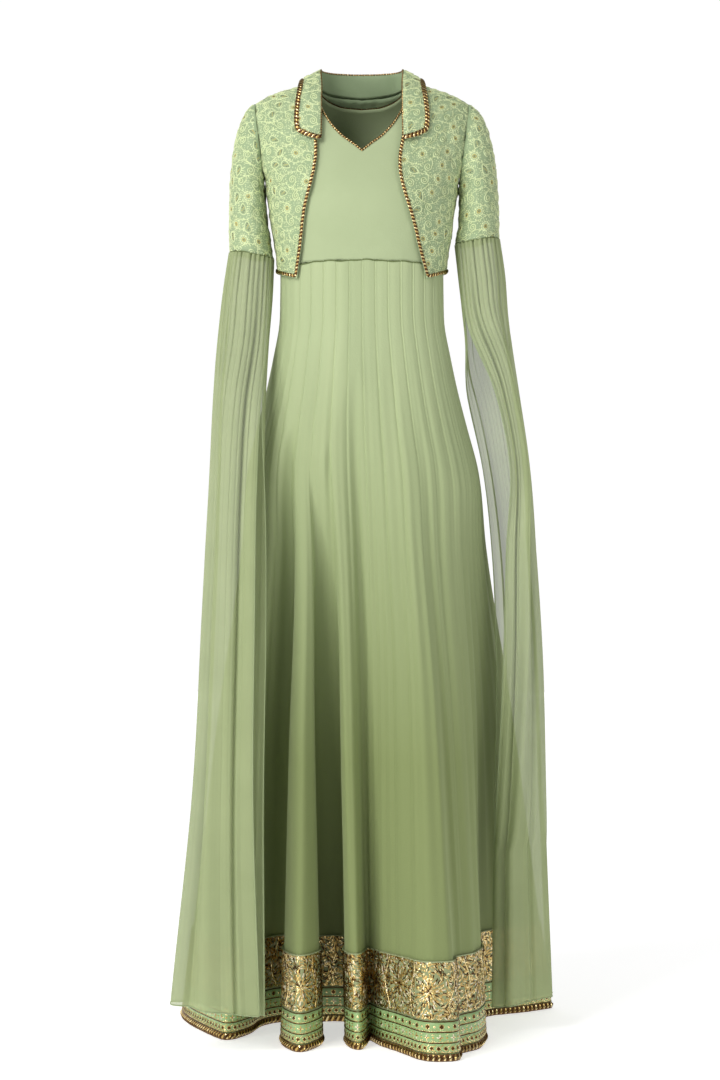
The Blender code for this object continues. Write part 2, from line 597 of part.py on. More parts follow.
def collar_sections():
    """Rows of the collar from the wearer's left front end round the neck to the right: stand, roll, fall."""
    front = []
    for roll_height, roll, edge_height, edge in COLLAR_FRONT:
        middle = ((0.0690 + edge) / 2, (roll_height + edge_height) / 2)
        front.append([on_jacket(-1, 0.0750, roll_height, 0.0020), on_jacket(-1, 0.0690, roll_height, 0.0020),
                      on_jacket(-1, roll, roll_height, 0.0034),
                      on_jacket(-1, 0.0690, roll_height, COLLAR_LIFT + 0.0010),
                      on_jacket(-1, *middle, COLLAR_LIFT + 0.0010),
                      on_jacket(-1, edge - COLLAR_CORD_WIDE, edge_height - 0.001, COLLAR_LIFT),
                      on_jacket(-1, edge, edge_height, COLLAR_LIFT - 0.0005)])
    front = np.array(front)
    edge = jacket_back(JACKET_EASE - WALL / 2, jacket_back_turns())[-1]
    back = []
    for step in range(COLLAR_BACK_STEPS * 2 + 1):
        angle = math.pi * step / (COLLAR_BACK_STEPS * 2)
        out, behind = math.cos(angle), math.sin(angle)
        seam_x = 0.0755 * out
        seam = np.array([seam_x, *(np.interp(seam_x, edge[:, 0], edge[:, axis]) for axis in (1, 2))])
        seam += np.array([0, -0.0004, COLLAR_SEAM_LIFT])
        crest = place(0.0650 * out, 0.042 * behind, COLLAR_CREST)
        over = crest + np.array([0.0050 * out, 0.0050 * behind, -0.0010])
        fall_x = 0.0965 * out
        fall_height = float(shoulder_height(fall_x)) - (float(shoulder_height(fall_x)) - COLLAR_BACK_FOOT) * behind
        fall = on_jacket(1, fall_x, fall_height + JACKET_EASE, COLLAR_LIFT - 0.0005)
        bulge = np.array([0.0045 * out, 0.0045 * behind, 0.0010])
        back.append([seam, (seam + crest) / 2, crest, over, over * 0.5 + fall * 0.5 + bulge,
                     over * 0.22 + fall * 0.78 + bulge * 0.5, fall])
    right = front * np.array([-1, 1, 1])
    return np.concatenate([front, np.array(back), right[::-1]])


def make_collar(cloth, cord):
    middle = collar_sections()
    normal = normals_of(middle)
    if normal[len(normal) // 2, -2, 1] < 0:
        normal = -normal
    add_wall("jacket_collar", middle + normal * WALL / 2, middle - normal * WALL / 2, cloth)
    seat = middle[:, -2:] + normal[:, -2:] * (WALL / 2 + SEAM_GAP)
    add_wall("cord_collar", seat + normal[:, -2:] * CORD_THICK, seat, cord)


def armhole_ring(side, angles):
    """The jacket's armhole, from the shoulder tip down the front to the underarm and up the back."""
    share = float(edge_share(1.46))
    tip = 1.455
    for _ in range(40):
        tip = float(shoulder_height((smooth_table(BODICE_RINGS, 1, tip) + JACKET_EASE) * share)) + JACKET_EASE
    height = (tip + UNDERARM) / 2 + (tip - UNDERARM) / 2 * np.cos(angles)
    share = edge_share(height)
    front = form_point(-1, share, height, JACKET_EASE)
    back = form_point(1, share, height, JACKET_EASE)
    ring = np.where((angles <= math.pi)[:, None], front, back)
    return ring * np.array([side, 1, 1])


def tilted_ring(side, outer, inner, y, depth, angles):
    """An oval ring through an outer and an inner point, which lie at their own heights."""
    x = (outer[0] + inner[0]) / 2 + (outer[0] - inner[0]) / 2 * np.cos(angles)
    height = (outer[1] + inner[1]) / 2 + (outer[1] - inner[1]) / 2 * np.cos(angles)
    return place(side * x, y - depth * np.sin(angles), height)


def upper_sleeve(side, sizes, shrink, angles, rows):
    start = armhole_ring(side, angles)
    start[:, 0] += side * 0.0006
    middle = start.mean(axis=0)
    inward = start - middle
    inward[:, 0] = 0
    start = start - shrink * inward / np.maximum(np.linalg.norm(inward, axis=1, keepdims=True), 1e-9)
    full = tilted_ring(side, (sizes["full_outer"][0] - shrink, sizes["full_outer"][1] - shrink),
                       (sizes["full_inner"][0] + shrink, sizes["full_inner"][1] + shrink),
                       sizes["full_y"], sizes["full_depth"] - shrink, angles)
    elbow = tilted_ring(side, (sizes["elbow_outer"][0] - shrink, sizes["elbow_outer"][1]),
                        (sizes["elbow_inner"][0] + shrink, sizes["elbow_inner"][1]),
                        sizes["elbow_y"], sizes["elbow_depth"] - shrink, angles)
    return np.stack([(1 - t)**2 * start + 2 * t * (1 - t) * full + t * t * elbow for t in rows])


def make_upper_sleeves(cloth):
    angles = np.linspace(0, 2 * math.pi, 21)[:-1]
    rows = np.linspace(0, 1, 8)
    for name, side, sizes in (("sleeve_upper_left", 1, UPPER_SLEEVE_LEFT),
                              ("sleeve_upper_right", -1, UPPER_SLEEVE_RIGHT)):
        add_wall(name, upper_sleeve(side, sizes, 0.0, angles, rows),
                 upper_sleeve(side, sizes, WALL, angles, rows), cloth, closed=True)


def lower_sleeve(side, table, sizes, shrink, columns, rows):
    """A lower sleeve as one wide piece, wrapped from the slit's front edge round the outside to its back edge."""
    across = np.linspace(0, 1, columns)
    top_row, foot_row = table[0][0], table[-1][0]
    grid = []
    for share in rows:
        level = top_row + (foot_row - top_row) * share
        outer, inner, edge, middle, depth, slit = (smooth_table(table, column, level) for column in range(1, 7))
        centre, half = (outer + inner) / 2, (outer - inner) / 2
        first = math.acos(min(max((edge - centre) / half, -1), 1))
        last = first - 2 * math.pi + 0.010
        last += slit * (-math.pi + 0.10 - last)
        angle = first + (last - first) * across
        gather = GATHER_DEPTH_TOP + (GATHER_DEPTH_FOOT - GATHER_DEPTH_TOP) * min(share * 3, 1)
        swell = SOFT_FOLD_DEPTH * min(share * 2.5, 1)
        ripple = gather * np.cos(2 * math.pi * GATHER_COUNT * across) + swell * np.cos(
            2 * math.pi * SOFT_FOLD_COUNT * across)
        reach = ripple - shrink
        x = centre + (half + reach) * np.cos(angle)
        y = middle - (depth + reach) * np.sin(angle)
        tilt = (sizes["elbow_outer"][1] - sizes["elbow_inner"][1]) / 2 * np.cos(angle) * (1 - share)
        lift = (sizes["elbow_outer"][1] + sizes["elbow_inner"][1]) / 2 - top_row
        grid.append(place(side * x, y, level + tilt + lift * (1 - share) - 0.0004 * (1 - share)
                          + 0.010 * share * np.cos(angle)))
    return np.array(grid)


def make_lower_sleeves(sheer):
    columns = GATHER_COUNT * 2 + 1
    rows = [0, 0.06, 0.16, 0.30, 0.50, 0.74, 1.0]
    for name, side, table, sizes in (("sleeve_lower_left", 1, SLEEVE_ROWS_LEFT, UPPER_SLEEVE_LEFT),
                                     ("sleeve_lower_right", -1, SLEEVE_ROWS_RIGHT, UPPER_SLEEVE_RIGHT)):
        add_wall(name, lower_sleeve(side, table, sizes, 0.0, columns, rows),
                 lower_sleeve(side, table, sizes, WALL, columns, rows), sheer)


def make_suit():
    gown = cloth_material("gown_georgette", (0.36, 0.47, 0.24), 0.75)
    jacket = cloth_material("jacket_embroidered", (0.42, 0.56, 0.31), 0.80)
    sheer = cloth_material("sleeve_sheer_georgette", (0.30, 0.42, 0.22), 0.70)
    gold_band = cloth_material("gold_bead_band", (0.50, 0.33, 0.10), 0.45, 0.5)
    green_band = cloth_material("green_band", (0.24, 0.50, 0.30), 0.65)
    cord = cloth_material("bead_cord", (0.32, 0.19, 0.06), 0.40, 0.6)
    make_bodice(gown, cord)
    make_skirt(gown, gold_band, green_band, cord)
    make_jacket(jacket, cord)
    make_collar(jacket, cord)
    make_upper_sleeves(jacket)
    make_lower_sleeves(sheer)


for old in list(bpy.data.objects):
    bpy.data.objects.remove(old, do_unlink=True)
make_suit()
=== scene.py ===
"""Anarkali suit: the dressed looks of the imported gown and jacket, in the same frame as the CAD part.

Metres, +Z up, the front faces -Y, the wearer's left is +X. Heights are measured up from the floor-length hem.
"""

import math

import bpy
import numpy as np
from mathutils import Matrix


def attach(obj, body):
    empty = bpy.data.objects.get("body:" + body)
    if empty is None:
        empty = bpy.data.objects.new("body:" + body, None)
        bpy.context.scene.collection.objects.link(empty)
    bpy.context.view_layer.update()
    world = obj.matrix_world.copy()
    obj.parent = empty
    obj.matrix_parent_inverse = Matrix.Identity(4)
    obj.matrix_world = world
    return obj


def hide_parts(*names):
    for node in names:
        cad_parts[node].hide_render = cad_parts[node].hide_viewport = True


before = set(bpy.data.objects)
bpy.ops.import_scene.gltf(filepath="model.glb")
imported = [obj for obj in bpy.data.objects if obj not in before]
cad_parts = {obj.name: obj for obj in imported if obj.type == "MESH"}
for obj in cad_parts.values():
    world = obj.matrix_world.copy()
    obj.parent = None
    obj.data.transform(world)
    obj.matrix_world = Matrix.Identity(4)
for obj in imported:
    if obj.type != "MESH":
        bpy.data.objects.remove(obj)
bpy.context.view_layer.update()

# Bodice. Sleeveless V-neck bodice, front and back, of matt sage georgette cut close so that it stays smooth.
# The two panels are joined at the shoulders and sides. Each is a thin shell on the worn form, with a few
# shallow pulls near the bust and underarm.
GOWN_LENGTH = 1.486
UNDERARM = 1.325
SHOULDER_ROUND = 0.070
FORM_POWER = 2.5
NECK_HALF = 0.072
CLOTH_THICK = 0.0009
BODICE_RINGS = [  # height, half width, depth in front, depth behind
    (1.170, 0.1265, 0.090, 0.086), (1.203, 0.1270, 0.093, 0.088), (1.250, 0.1330, 0.104, 0.094),
    (1.300, 0.1405, 0.113, 0.100), (1.350, 0.1520, 0.101, 0.106), (1.400, 0.1640, 0.080, 0.103),
    (1.440, 0.1710, 0.064, 0.092), (1.490, 0.1750, 0.050, 0.078),
]
SHOULDER = [(0.050, 1.489), (0.072, 1.486), (0.100, 1.482), (0.125, 1.475), (0.150, 1.465), (0.175, 1.449)]
ARMHOLE = [(UNDERARM, 1.000), (1.340, 0.985), (1.370, 0.958), (1.405, 0.940), (1.440, 0.935), (1.470, 0.935)]
NECK_FRONT = [(0.000, 1.374), (0.012, 1.384), (0.036, 1.404), (0.054, 1.428), (0.065, 1.452), (0.072, 1.486)]
NECK_BACK = [(0.000, 1.462), (0.040, 1.467), (0.060, 1.476), (0.072, 1.486)]
BODICE_CREASES = [  # from x, height to x, height, width, depth: shallow pulls of the cloth
    (-0.125, 1.300, -0.060, 1.322, 0.010, -0.0012), (0.128, 1.292, 0.070, 1.315, 0.009, -0.0010),
    (-0.118, 1.262, -0.075, 1.268, 0.012, 0.0010), (0.120, 1.245, 0.080, 1.256, 0.010, 0.0012),
    (-0.030, 1.225, 0.020, 1.222, 0.009, -0.0007), (0.034, 1.240, 0.062, 1.216, 0.008, 0.0008),
]


def smooth_table(rows, column, at):
    """A column of a table read smoothly between its rows."""
    table = np.array(rows, dtype=float)
    table = table[np.argsort(table[:, 0])]
    x, y = table[:, 0], table[:, column]
    slope = np.gradient(y, x)
    at = np.clip(np.asarray(at, dtype=float), x[0], x[-1])
    i = np.clip(np.searchsorted(x, at, side="right") - 1, 0, len(x) - 2)
    span = x[i + 1] - x[i]
    t = (at - x[i]) / span
    return ((2 * t**3 - 3 * t**2 + 1) * y[i] + (t**3 - 2 * t**2 + t) * span * slope[i]
            + (3 * t**2 - 2 * t**3) * y[i + 1] + (t**3 - t**2) * span * slope[i + 1])


def place(x, y, height):
    """A point in the part's frame from its height above the hem."""
    x, y, height = np.broadcast_arrays(x, y, height)
    return np.stack([x, y, height - GOWN_LENGTH], axis=-1)


def unit(vectors):
    return vectors / np.maximum(np.linalg.norm(vectors, axis=-1, keepdims=True), 1e-9)


def normals_of(grid, closed=False):
    """Normals of a grid of points, whose rows run upwards and whose columns run across."""
    across = np.gradient(grid, axis=1)
    if closed:
        across = np.roll(grid, -1, axis=1) - np.roll(grid, 1, axis=1)
    return unit(np.cross(unit(across), unit(np.gradient(grid, axis=0))))


def outwards(grid, closed=False, towards=None):
    """The grid's normals, turned to point away from its middle line or towards a given direction."""
    normal = normals_of(grid, closed)
    if towards is None:
        middle = grid.mean(axis=1, keepdims=True)
        agree = ((grid - middle) * normal).sum()
    else:
        agree = (normal * np.array(towards)).sum()
    return normal if agree > 0 else -normal


def pressed(grid, normal, creases, axis=0):
    """The grid with shallow creases, each a soft valley or ridge along a line given by x (or y) and height."""
    x, height = grid[..., axis], grid[..., 2] + GOWN_LENGTH
    moved = np.zeros(x.shape)
    for x0, h0, x1, h1, width, depth in creases:
        length = math.hypot(x1 - x0, h1 - h0)
        along = ((x - x0) * (x1 - x0) + (height - h0) * (h1 - h0)) / length**2
        off = np.hypot(x - x0 - np.clip(along, 0, 1) * (x1 - x0), height - h0 - np.clip(along, 0, 1) * (h1 - h0))
        moved += depth * np.exp(-(off / width) ** 2)
    return grid + normal * moved[..., None]


def faces_over(grid, normal, closed):
    """Four-sided faces over a grid that look along its normals, and -1 where their order was turned for it."""
    rows, columns = grid.shape[:2]
    last = columns if closed else columns - 1
    r, c = (index.ravel() for index in np.meshgrid(np.arange(rows - 1), np.arange(last), indexing="ij"))
    d = (c + 1) % columns
    quads = np.stack([r * columns + c, r * columns + d, (r + 1) * columns + d, (r + 1) * columns + c], axis=1)
    turned = -1 if np.cross(grid[0, 1] - grid[0, 0], grid[1, 0] - grid[0, 0]) @ normal[0, 0] < 0 else 1
    return quads[:, ::turned], turned


def shell(name, grid, normal, thickness, materials, closed=False):
    """A thin cloth shell: the grid is its outer face, and the inner face lies a thickness behind it."""
    points = np.concatenate([grid.reshape(-1, 3), (grid - normal * thickness).reshape(-1, 3)])
    quads, turned = faces_over(grid, normal, closed)
    numbers = np.arange(grid[..., 0].size).reshape(grid.shape[:2])
    lines = [(numbers[0], 1), (numbers[-1], -1)]
    if closed:
        lines = [(np.append(line, line[0]), turn) for line, turn in lines]
    else:
        lines += [(numbers[:, 0], -1), (numbers[:, -1], 1)]
    back = numbers.size
    rims = [np.stack([line[1:], line[:-1], line[:-1] + back, line[1:] + back], axis=1)[:, ::turn * turned]
            for line, turn in lines]
    return mesh_piece(name, points, np.concatenate([quads, quads[:, ::-1] + back] + rims), materials)


def mesh_piece(name, points, faces, materials, picks=None, smooth=True):
    """A mesh object from points and faces, with one material or several picked face by face."""
    mesh = bpy.data.meshes.new(name)
    faces = np.asarray(faces)
    mesh.vertices.add(len(points))
    mesh.vertices.foreach_set("co", np.asarray(points, dtype=np.float32).ravel())
    mesh.loops.add(faces.size)
    mesh.loops.foreach_set("vertex_index", faces.astype(np.int32).ravel())
    mesh.polygons.add(len(faces))
    mesh.polygons.foreach_set("loop_start", np.arange(len(faces), dtype=np.int32) * faces.shape[1])
    for material in materials:
        mesh.materials.append(material)
    if picks is not None:
        mesh.polygons.foreach_set("material_index", np.asarray(picks, dtype=np.int32))
    mesh.update()
    mesh.validate()
    if smooth:
        mesh.shade_smooth()
    piece = bpy.data.objects.new(name, mesh)
    bpy.context.collection.objects.link(piece)
    return piece


def belongs(piece, slot, *nodes):
    """Fixes a piece to the garment's one body and hides the solids that it stands for. The slot is not used."""
    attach(piece, "root")
    if nodes:
        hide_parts(*nodes)


def to_linear(code):
    """A colour given as sRGB hex, as linear red, green and blue with full alpha."""
    values = [int(code[i:i + 2], 16) / 255 for i in (1, 3, 5)]
    return tuple(v / 12.92 if v <= 0.04045 else ((v + 0.055) / 1.055) ** 2.4 for v in values) + (1.0,)


def add_node(material, kind, inputs=None, **settings):
    """Adds a shader node with its settings, and gives each named socket a value or a link."""
    node = material.node_tree.nodes.new(kind)
    for name, value in settings.items():
        setattr(node, name, value)
    for name, value in (inputs or {}).items():
        if isinstance(value, bpy.types.NodeSocket):
            material.node_tree.links.new(value, node.inputs[name])
        else:
            node.inputs[name].default_value = value
    return node


def surface(name, **finish):
    """A material whose shader sockets, such as base_color, take the given values."""
    material = bpy.data.materials.new(name)
    material.use_nodes = True
    shader = material.node_tree.nodes["Principled BSDF"]
    for socket, value in finish.items():
        shader.inputs[socket.replace("_", " ").title()].default_value = value
    return material, shader


def woven_cloth(name, light, dark, roughness, sheen, crinkle_mm, crinkle_height, mottle_mm=60, drawn_out=1.0):
    """A matt woven cloth: two close tones in soft clouds, and a fine crinkle from its twisted yarns."""
    material, shader = surface(name, roughness=roughness, sheen_weight=sheen, sheen_roughness=0.5,
                               sheen_tint=to_linear("#DCE9B4"))
    place_on_cloth = add_node(material, "ShaderNodeTexCoord").outputs["Object"]
    stretched = add_node(material, "ShaderNodeMapping", {"Vector": place_on_cloth, "Scale": (1, 1, drawn_out)})
    clouds = add_node(material, "ShaderNodeTexNoise", {"Vector": stretched.outputs["Vector"],
                                                       "Scale": 1000 / mottle_mm, "Detail": 3.0})
    tone = add_node(material, "ShaderNodeMix", {"Factor": clouds.outputs["Fac"]}, data_type="RGBA")
    tone.inputs[6].default_value = to_linear(dark)
    tone.inputs[7].default_value = to_linear(light)
    material.node_tree.links.new(tone.outputs[2], shader.inputs["Base Color"])
    yarns = add_node(material, "ShaderNodeTexNoise", {"Vector": place_on_cloth, "Scale": 1000 / crinkle_mm,
                                                      "Detail": 2.0})
    bump = add_node(material, "ShaderNodeBump", {"Height": yarns.outputs["Fac"], "Distance": crinkle_height,
                                                 "Strength": 0.6})
    material.node_tree.links.new(bump.outputs["Normal"], shader.inputs["Normal"])
    return material


# Polyester georgette, piece-dyed sage: matt, with a pebbled surface from its crepe yarns. The pebbles of a
# real one are 0.5 mm, drawn 2.5 mm here so that they show.
gown_georgette = woven_cloth("gown_georgette", "#A9B68D", "#A0AD84", 0.82, 0.25, 2.5, 0.0004)


def form_point(face, share, height, ease):
    """A point of the worn form: face is -1 in front and 1 behind, share runs over the half width."""
    half = smooth_table(BODICE_RINGS, 1, height) + ease
    depth = smooth_table(BODICE_RINGS, 2 if face < 0 else 3, height) + ease
    x = half * share
    round_off = np.maximum(1 - np.abs(share) ** FORM_POWER, 0) ** (1 / FORM_POWER)
    below = np.clip((smooth_table(SHOULDER, 1, np.abs(x)) + ease - height) / SHOULDER_ROUND, 0, 1)
    return place(x, face * depth * round_off * np.sqrt(1 - (1 - below) ** 2), height)


def edge_share(height):
    """The share of the half width where a panel ends: all of it below the underarm, the armhole above."""
    height = np.asarray(height, dtype=float)
    return np.where(height <= UNDERARM, 1.0, smooth_table(ARMHOLE, 1, height))


def share_at(turn, height, ease, front_edge=None):
    """How far out a column lies at a height. front_edge is the side and table column of a jacket front."""
    reach = np.arcsin(np.clip(edge_share(height), 0, 1))
    if front_edge is None:
        return np.sin(turn * reach)
    side, column = front_edge
    half = smooth_table(BODICE_RINGS, 1, height) + ease
    start = np.arcsin(np.clip(smooth_table(JACKET_EDGE, column, height) / half, 0, 1))
    return side * np.sin(start + (reach - start) * turn)


def panel_grid(face, turns, rows, foot, neck, ease, front_edge=None):
    """A bodice or jacket panel: its columns run from the lower edge to the neckline or the shoulder seam."""
    turns = np.asarray(turns, dtype=float)
    level = np.full(len(turns), 1.47)
    for _ in range(40):
        x = np.abs((smooth_table(BODICE_RINGS, 1, level) + ease) * share_at(turns, level, ease, front_edge))
        top = np.where(x < neck[-1][0], smooth_table(neck, 1, x), smooth_table(SHOULDER, 1, x) + ease)
        level = np.minimum(0.5 * level + 0.5 * top, 1.4895 + ease)
    height = foot(turns) + (level - foot(turns)) * np.asarray(rows)[:, None]
    return form_point(face, share_at(turns[None, :], height, ease, front_edge), height, ease)


def neck_turn(neck_side, ease):
    """The column that ends where the neckline meets the shoulder seam."""
    turns = np.linspace(0, 1, 400)
    level = smooth_table(SHOULDER, 1, neck_side) + ease
    x = (smooth_table(BODICE_RINGS, 1, level) + ease) * np.sin(turns * np.arcsin(edge_share(level)))
    return float(np.interp(neck_side, x, turns))


def both_sides(split, neck_steps, side_steps):
    """Columns over a whole panel, even between the neck ends and even from there to each side."""
    half = list(np.linspace(0, split, neck_steps + 1)) + list(np.linspace(split, 1, side_steps + 1))[1:]
    return [-turn for turn in half[:0:-1]] + half


def seam_height(share):
    """The under-bust seam dips a little towards the sides."""
    return 1.1995 + 0.0065 * (1 - share * share)


def under_bust(turn):
    """The bodice's lower edge, with the small ripple of a hand-held seam."""
    return seam_height(np.sin(turn * math.pi / 2)) + 0.0006 * np.sin(turn * 23) + 0.0004 * np.sin(turn * 61)


FINE_ROWS = np.linspace(0, 1, 57)
bodice_turns = both_sides(neck_turn(NECK_HALF, 0.0), 20, 20)
bodice_grids = {}
for name, face, neck, node in (("bodice_front_cloth", -1, NECK_FRONT, "bodice_front"),
                               ("bodice_back_cloth", 1, NECK_BACK, "bodice_back")):
    grid = panel_grid(face, bodice_turns, FINE_ROWS, under_bust, neck, 0.0)
    normal = outwards(grid, towards=(0, face, 0))
    grid = pressed(grid, normal, BODICE_CREASES)
    bodice_grids[face] = (grid, normal)
    piece = shell(name, grid, normal, CLOTH_THICK, [gown_georgette])
    belongs(piece, "gown_georgette", node)

# Skirt. Floor-length skirt of 36 narrow tapering panels of the same georgette, sewn edge to edge. Each seam
# shows as a fine pressed tuck over the waist and hips, and from there the cloth breaks into deep folds.
KALI_COUNT = 36
SKIRT_RINGS = [  # height, half width, front reach, back reach, widest Y, middle X
    (1.203, 0.1270, -0.093, 0.088, 0.000, 0.000), (1.153, 0.1275, -0.089, 0.087, 0.000, 0.000),
    (1.112, 0.1290, -0.090, 0.092, 0.002, 0.000), (1.066, 0.1375, -0.096, 0.104, 0.006, 0.000),
    (1.007, 0.1500, -0.103, 0.124, 0.012, 0.000), (0.949, 0.1650, -0.109, 0.143, 0.020, 0.000),
    (0.894, 0.1790, -0.115, 0.160, 0.027, 0.001), (0.763, 0.1915, -0.130, 0.195, 0.042, 0.003),
    (0.500, 0.2300, -0.158, 0.265, 0.068, 0.007), (0.250, 0.2600, -0.182, 0.320, 0.086, 0.011),
    (0.000, 0.2900, -0.205, 0.370, 0.100, 0.015),
]
HEM_FOLDS = [  # pleat number from the front middle, direction in degrees, X, Y, height where the fold starts
    (-0.5, -1, 0.0130, -0.045, 1.03), (0.3, 4, 0.0260, -0.085, 1.00), (1.2, 12, 0.0591, -0.142, 1.00),
    (2.3, 21, 0.1050, -0.212, 1.00), (3.0, 26, 0.1430, -0.206, 0.99), (3.4, 29, 0.1490, -0.148, 0.96),
    (4.1, 35, 0.1670, -0.132, 0.90), (5.0, 45, 0.1890, -0.066, 0.86), (5.7, 54, 0.1870, 0.050, 0.86),
    (6.4, 63, 0.2040, 0.152, 0.86), (7.2, 74, 0.2560, 0.182, 0.86), (8.5, 87, 0.3160, 0.228, 0.86),
    (10.0, 100, 0.1900, 0.232, 0.88), (11.5, 115, 0.2360, 0.342, 0.90), (13.0, 130, 0.1270, 0.285, 0.92),
    (15.0, 149, 0.1300, 0.402, 0.92), (16.5, 165, 0.0530, 0.300, 0.94), (18.0, 180, 0.0150, 0.422, 0.95),
    (19.5, 195, -0.0300, 0.304, 0.94), (21.0, 210, -0.0980, 0.400, 0.93), (22.5, 226, -0.0960, 0.276, 0.92),
    (24.0, 241, -0.2000, 0.336, 0.90), (25.5, 257, -0.1600, 0.222, 0.88), (27.0, 272, -0.2800, 0.200, 0.86),
    (28.7, 289, -0.2440, 0.010, 0.86), (29.9, 306, -0.2080, -0.048, 0.88), (30.8, 317, -0.1800, -0.004, 0.90),
    (31.3, 324, -0.1540, 0.082, 0.93), (31.7, 328, -0.1270, 0.104, 0.96), (32.1, 333, -0.1180, -0.098, 0.96),
    (32.5, 336, -0.0950, -0.143, 0.94), (32.9, 339, -0.0680, -0.100, 0.92), (33.3, 343, -0.0600, 0.110, 0.90),
    (33.7, 348, -0.0310, 0.110, 0.90), (34.1, 351, -0.0190, -0.100, 0.94), (34.6, 354, -0.0050, -0.128, 0.98),
    (35.1, 356.5, 0.0050, -0.090, 1.02),
]
HEM_ROUNDING = 0.015
FOLD_TURN_TOP = 1.150
FOLD_TURN_DEPTH = 0.600


def ring_at(height, angle):
    """The smooth skirt ring at a height: angle in radians from the front middle towards +X."""
    half, front, back, wide, middle = (smooth_table(SKIRT_RINGS, column, height) for column in range(1, 6))
    sine, cosine = np.sin(angle), np.cos(angle)
    power = 2 / FORM_POWER
    x = middle + half * np.sign(sine) * np.abs(sine) ** power
    reach = np.where(cosine > 0, wide - front, back - wide)
    return x, wide - reach * np.sign(cosine) * np.abs(cosine) ** power


def arc_angle(fraction):
    """The ring angle at the under-bust seam that lies a fraction of the way round, by length."""
    angles = np.linspace(0, 2 * math.pi, 721)
    x, y = ring_at(1.203, angles)
    walked = np.concatenate([[0], np.cumsum(np.hypot(np.diff(x), np.diff(y)))])
    return np.interp(fraction, walked / walked[-1], angles)


def fold_values():
    """The hem folds with a few repeated past each end."""
    rows = np.array(HEM_FOLDS, dtype=float)
    before, after = rows[-2:].copy(), rows[:3].copy()
    before[:, 0] -= KALI_COUNT
    before[:, 1] -= 360
    after[:, 0] += KALI_COUNT
    after[:, 1] += 360
    return np.concatenate([before, rows, after])


def hem_at(pleat):
    """The folded hem line at a pleat number, as a smooth curve through the folds."""
    rows = fold_values()
    knots = np.concatenate([[0], np.cumsum(np.hypot(np.diff(rows[:, 2]), np.diff(rows[:, 3])))])
    where = np.interp(pleat, rows[:, 0], knots)
    points = [(knot, row[2], row[3]) for knot, row in zip(knots, rows)]
    spread = [where + HEM_ROUNDING * share for share in (-1, -0.5, 0, 0.5, 1)]
    return tuple(sum(smooth_table(points, column, at) for at in spread) / len(spread) for column in (1, 2))


def skirt_point(pleat, height):
    """A point of the skirt: a smooth ring at the top that breaks into the hem's folds on its way down."""
    pleat, height = np.broadcast_arrays(np.asarray(pleat, dtype=float), np.asarray(height, dtype=float))
    rows = fold_values()
    wrapped = np.where(pleat > 35.5, pleat - KALI_COUNT, pleat)
    fold_angle = np.radians(smooth_table(rows, 1, wrapped))
    fold_angle = np.where(pleat > 35.5, fold_angle + 2 * math.pi, fold_angle)
    start = smooth_table(rows, 4, wrapped)
    round_share = pleat / KALI_COUNT
    even_angle = arc_angle(round_share % 1.0) + 2 * math.pi * np.floor(round_share)
    turn = np.clip((FOLD_TURN_TOP - height) / FOLD_TURN_DEPTH, 0, 1)
    turn = turn * turn * (3 - 2 * turn)
    angle = even_angle + (fold_angle - even_angle) * turn
    ring_x, ring_y = ring_at(height, angle)
    foot_x, foot_y = ring_at(np.zeros_like(height), fold_angle)
    hem_x, hem_y = hem_at(wrapped)
    grown = np.clip((start - height) / start, 0, 1) ** 1.12
    return place(ring_x + grown * (hem_x - foot_x), ring_y + grown * (hem_y - foot_y), height)


def soft_waves(pleat, height):
    """Shallow uneven streaks between the deep folds, in metres: they fade towards the hips and the border."""
    total = np.zeros(np.broadcast(pleat, height).shape)
    for number, cycles, size in ((0, 29, 0.0016), (1, 47, 0.0013), (2, 71, 0.0010), (3, 103, 0.0006)):
        drift = 0.5 * np.sin(height * (2.1 + number) + number * 1.7)
        patch = 0.55 + 0.45 * np.sin(2 * math.pi * pleat / KALI_COUNT * (5 + 2 * number) + number * 2.3)
        total += size * patch * np.cos(2 * math.pi * cycles * pleat / KALI_COUNT + drift + number * 1.3)
    fade = np.clip((1.10 - height) / 0.35, 0, 1) * np.clip((height - 0.02) / 0.25, 0.25, 1)
    return total * fade * 1.3


def tucks(pleat, height):
    """The sewn seams between the panels: a fine groove beside a low crown, strongest over waist and hips."""
    from_seam = np.abs((pleat + 0.5) % 1.0 - 0.5)
    spread = 0.035 + 0.02 * np.clip((1.1 - height) / 0.5, 0, 1)
    strength = np.clip((height - 0.62) / 0.35, 0, 1)
    groove = -0.0010 * np.exp(-(from_seam / spread) ** 2)
    ridge = 0.0006 * np.exp(-((((pleat + 0.5) % 1.0 - 0.5) - 2.4 * spread) / (1.3 * spread)) ** 2)
    crown = 0.0008 * np.sin(math.pi * (pleat % 1.0)) ** 2
    return (groove + ridge) * (0.25 + 0.75 * strength) + crown * strength


STEPS_IN_KALI = np.array([0, .02, .045, .075, .115, .17, .24, .32, .41, .5, .59, .68, .76, .84, .91, .96])
pleats = (np.arange(KALI_COUNT)[:, None] + STEPS_IN_KALI).ravel()
skirt_heights = np.concatenate([np.linspace(0, 0.16, 15), np.linspace(0.172, 1.150, 84)])
x, _ = ring_at(np.full(len(pleats), 1.203), arc_angle(pleats / KALI_COUNT))
skirt_top = seam_height(x / SKIRT_RINGS[0][1]) - 0.0004
upper = skirt_top[None, :] + (1.150 - skirt_top[None, :]) * np.linspace(1, 0, 8)[1:, None]
heights = np.vstack([np.broadcast_to(skirt_heights[:, None], (len(skirt_heights), len(pleats))), upper])
skirt_grid = skirt_point(pleats[None, :], heights)
skirt_normal = outwards(skirt_grid, closed=True)
skirt_grid = skirt_grid + skirt_normal * (soft_waves(pleats[None, :], heights)
                                          + tucks(pleats[None, :], heights))[..., None]
skirt_grid[..., 2] = np.maximum(skirt_grid[..., 2], -GOWN_LENGTH)


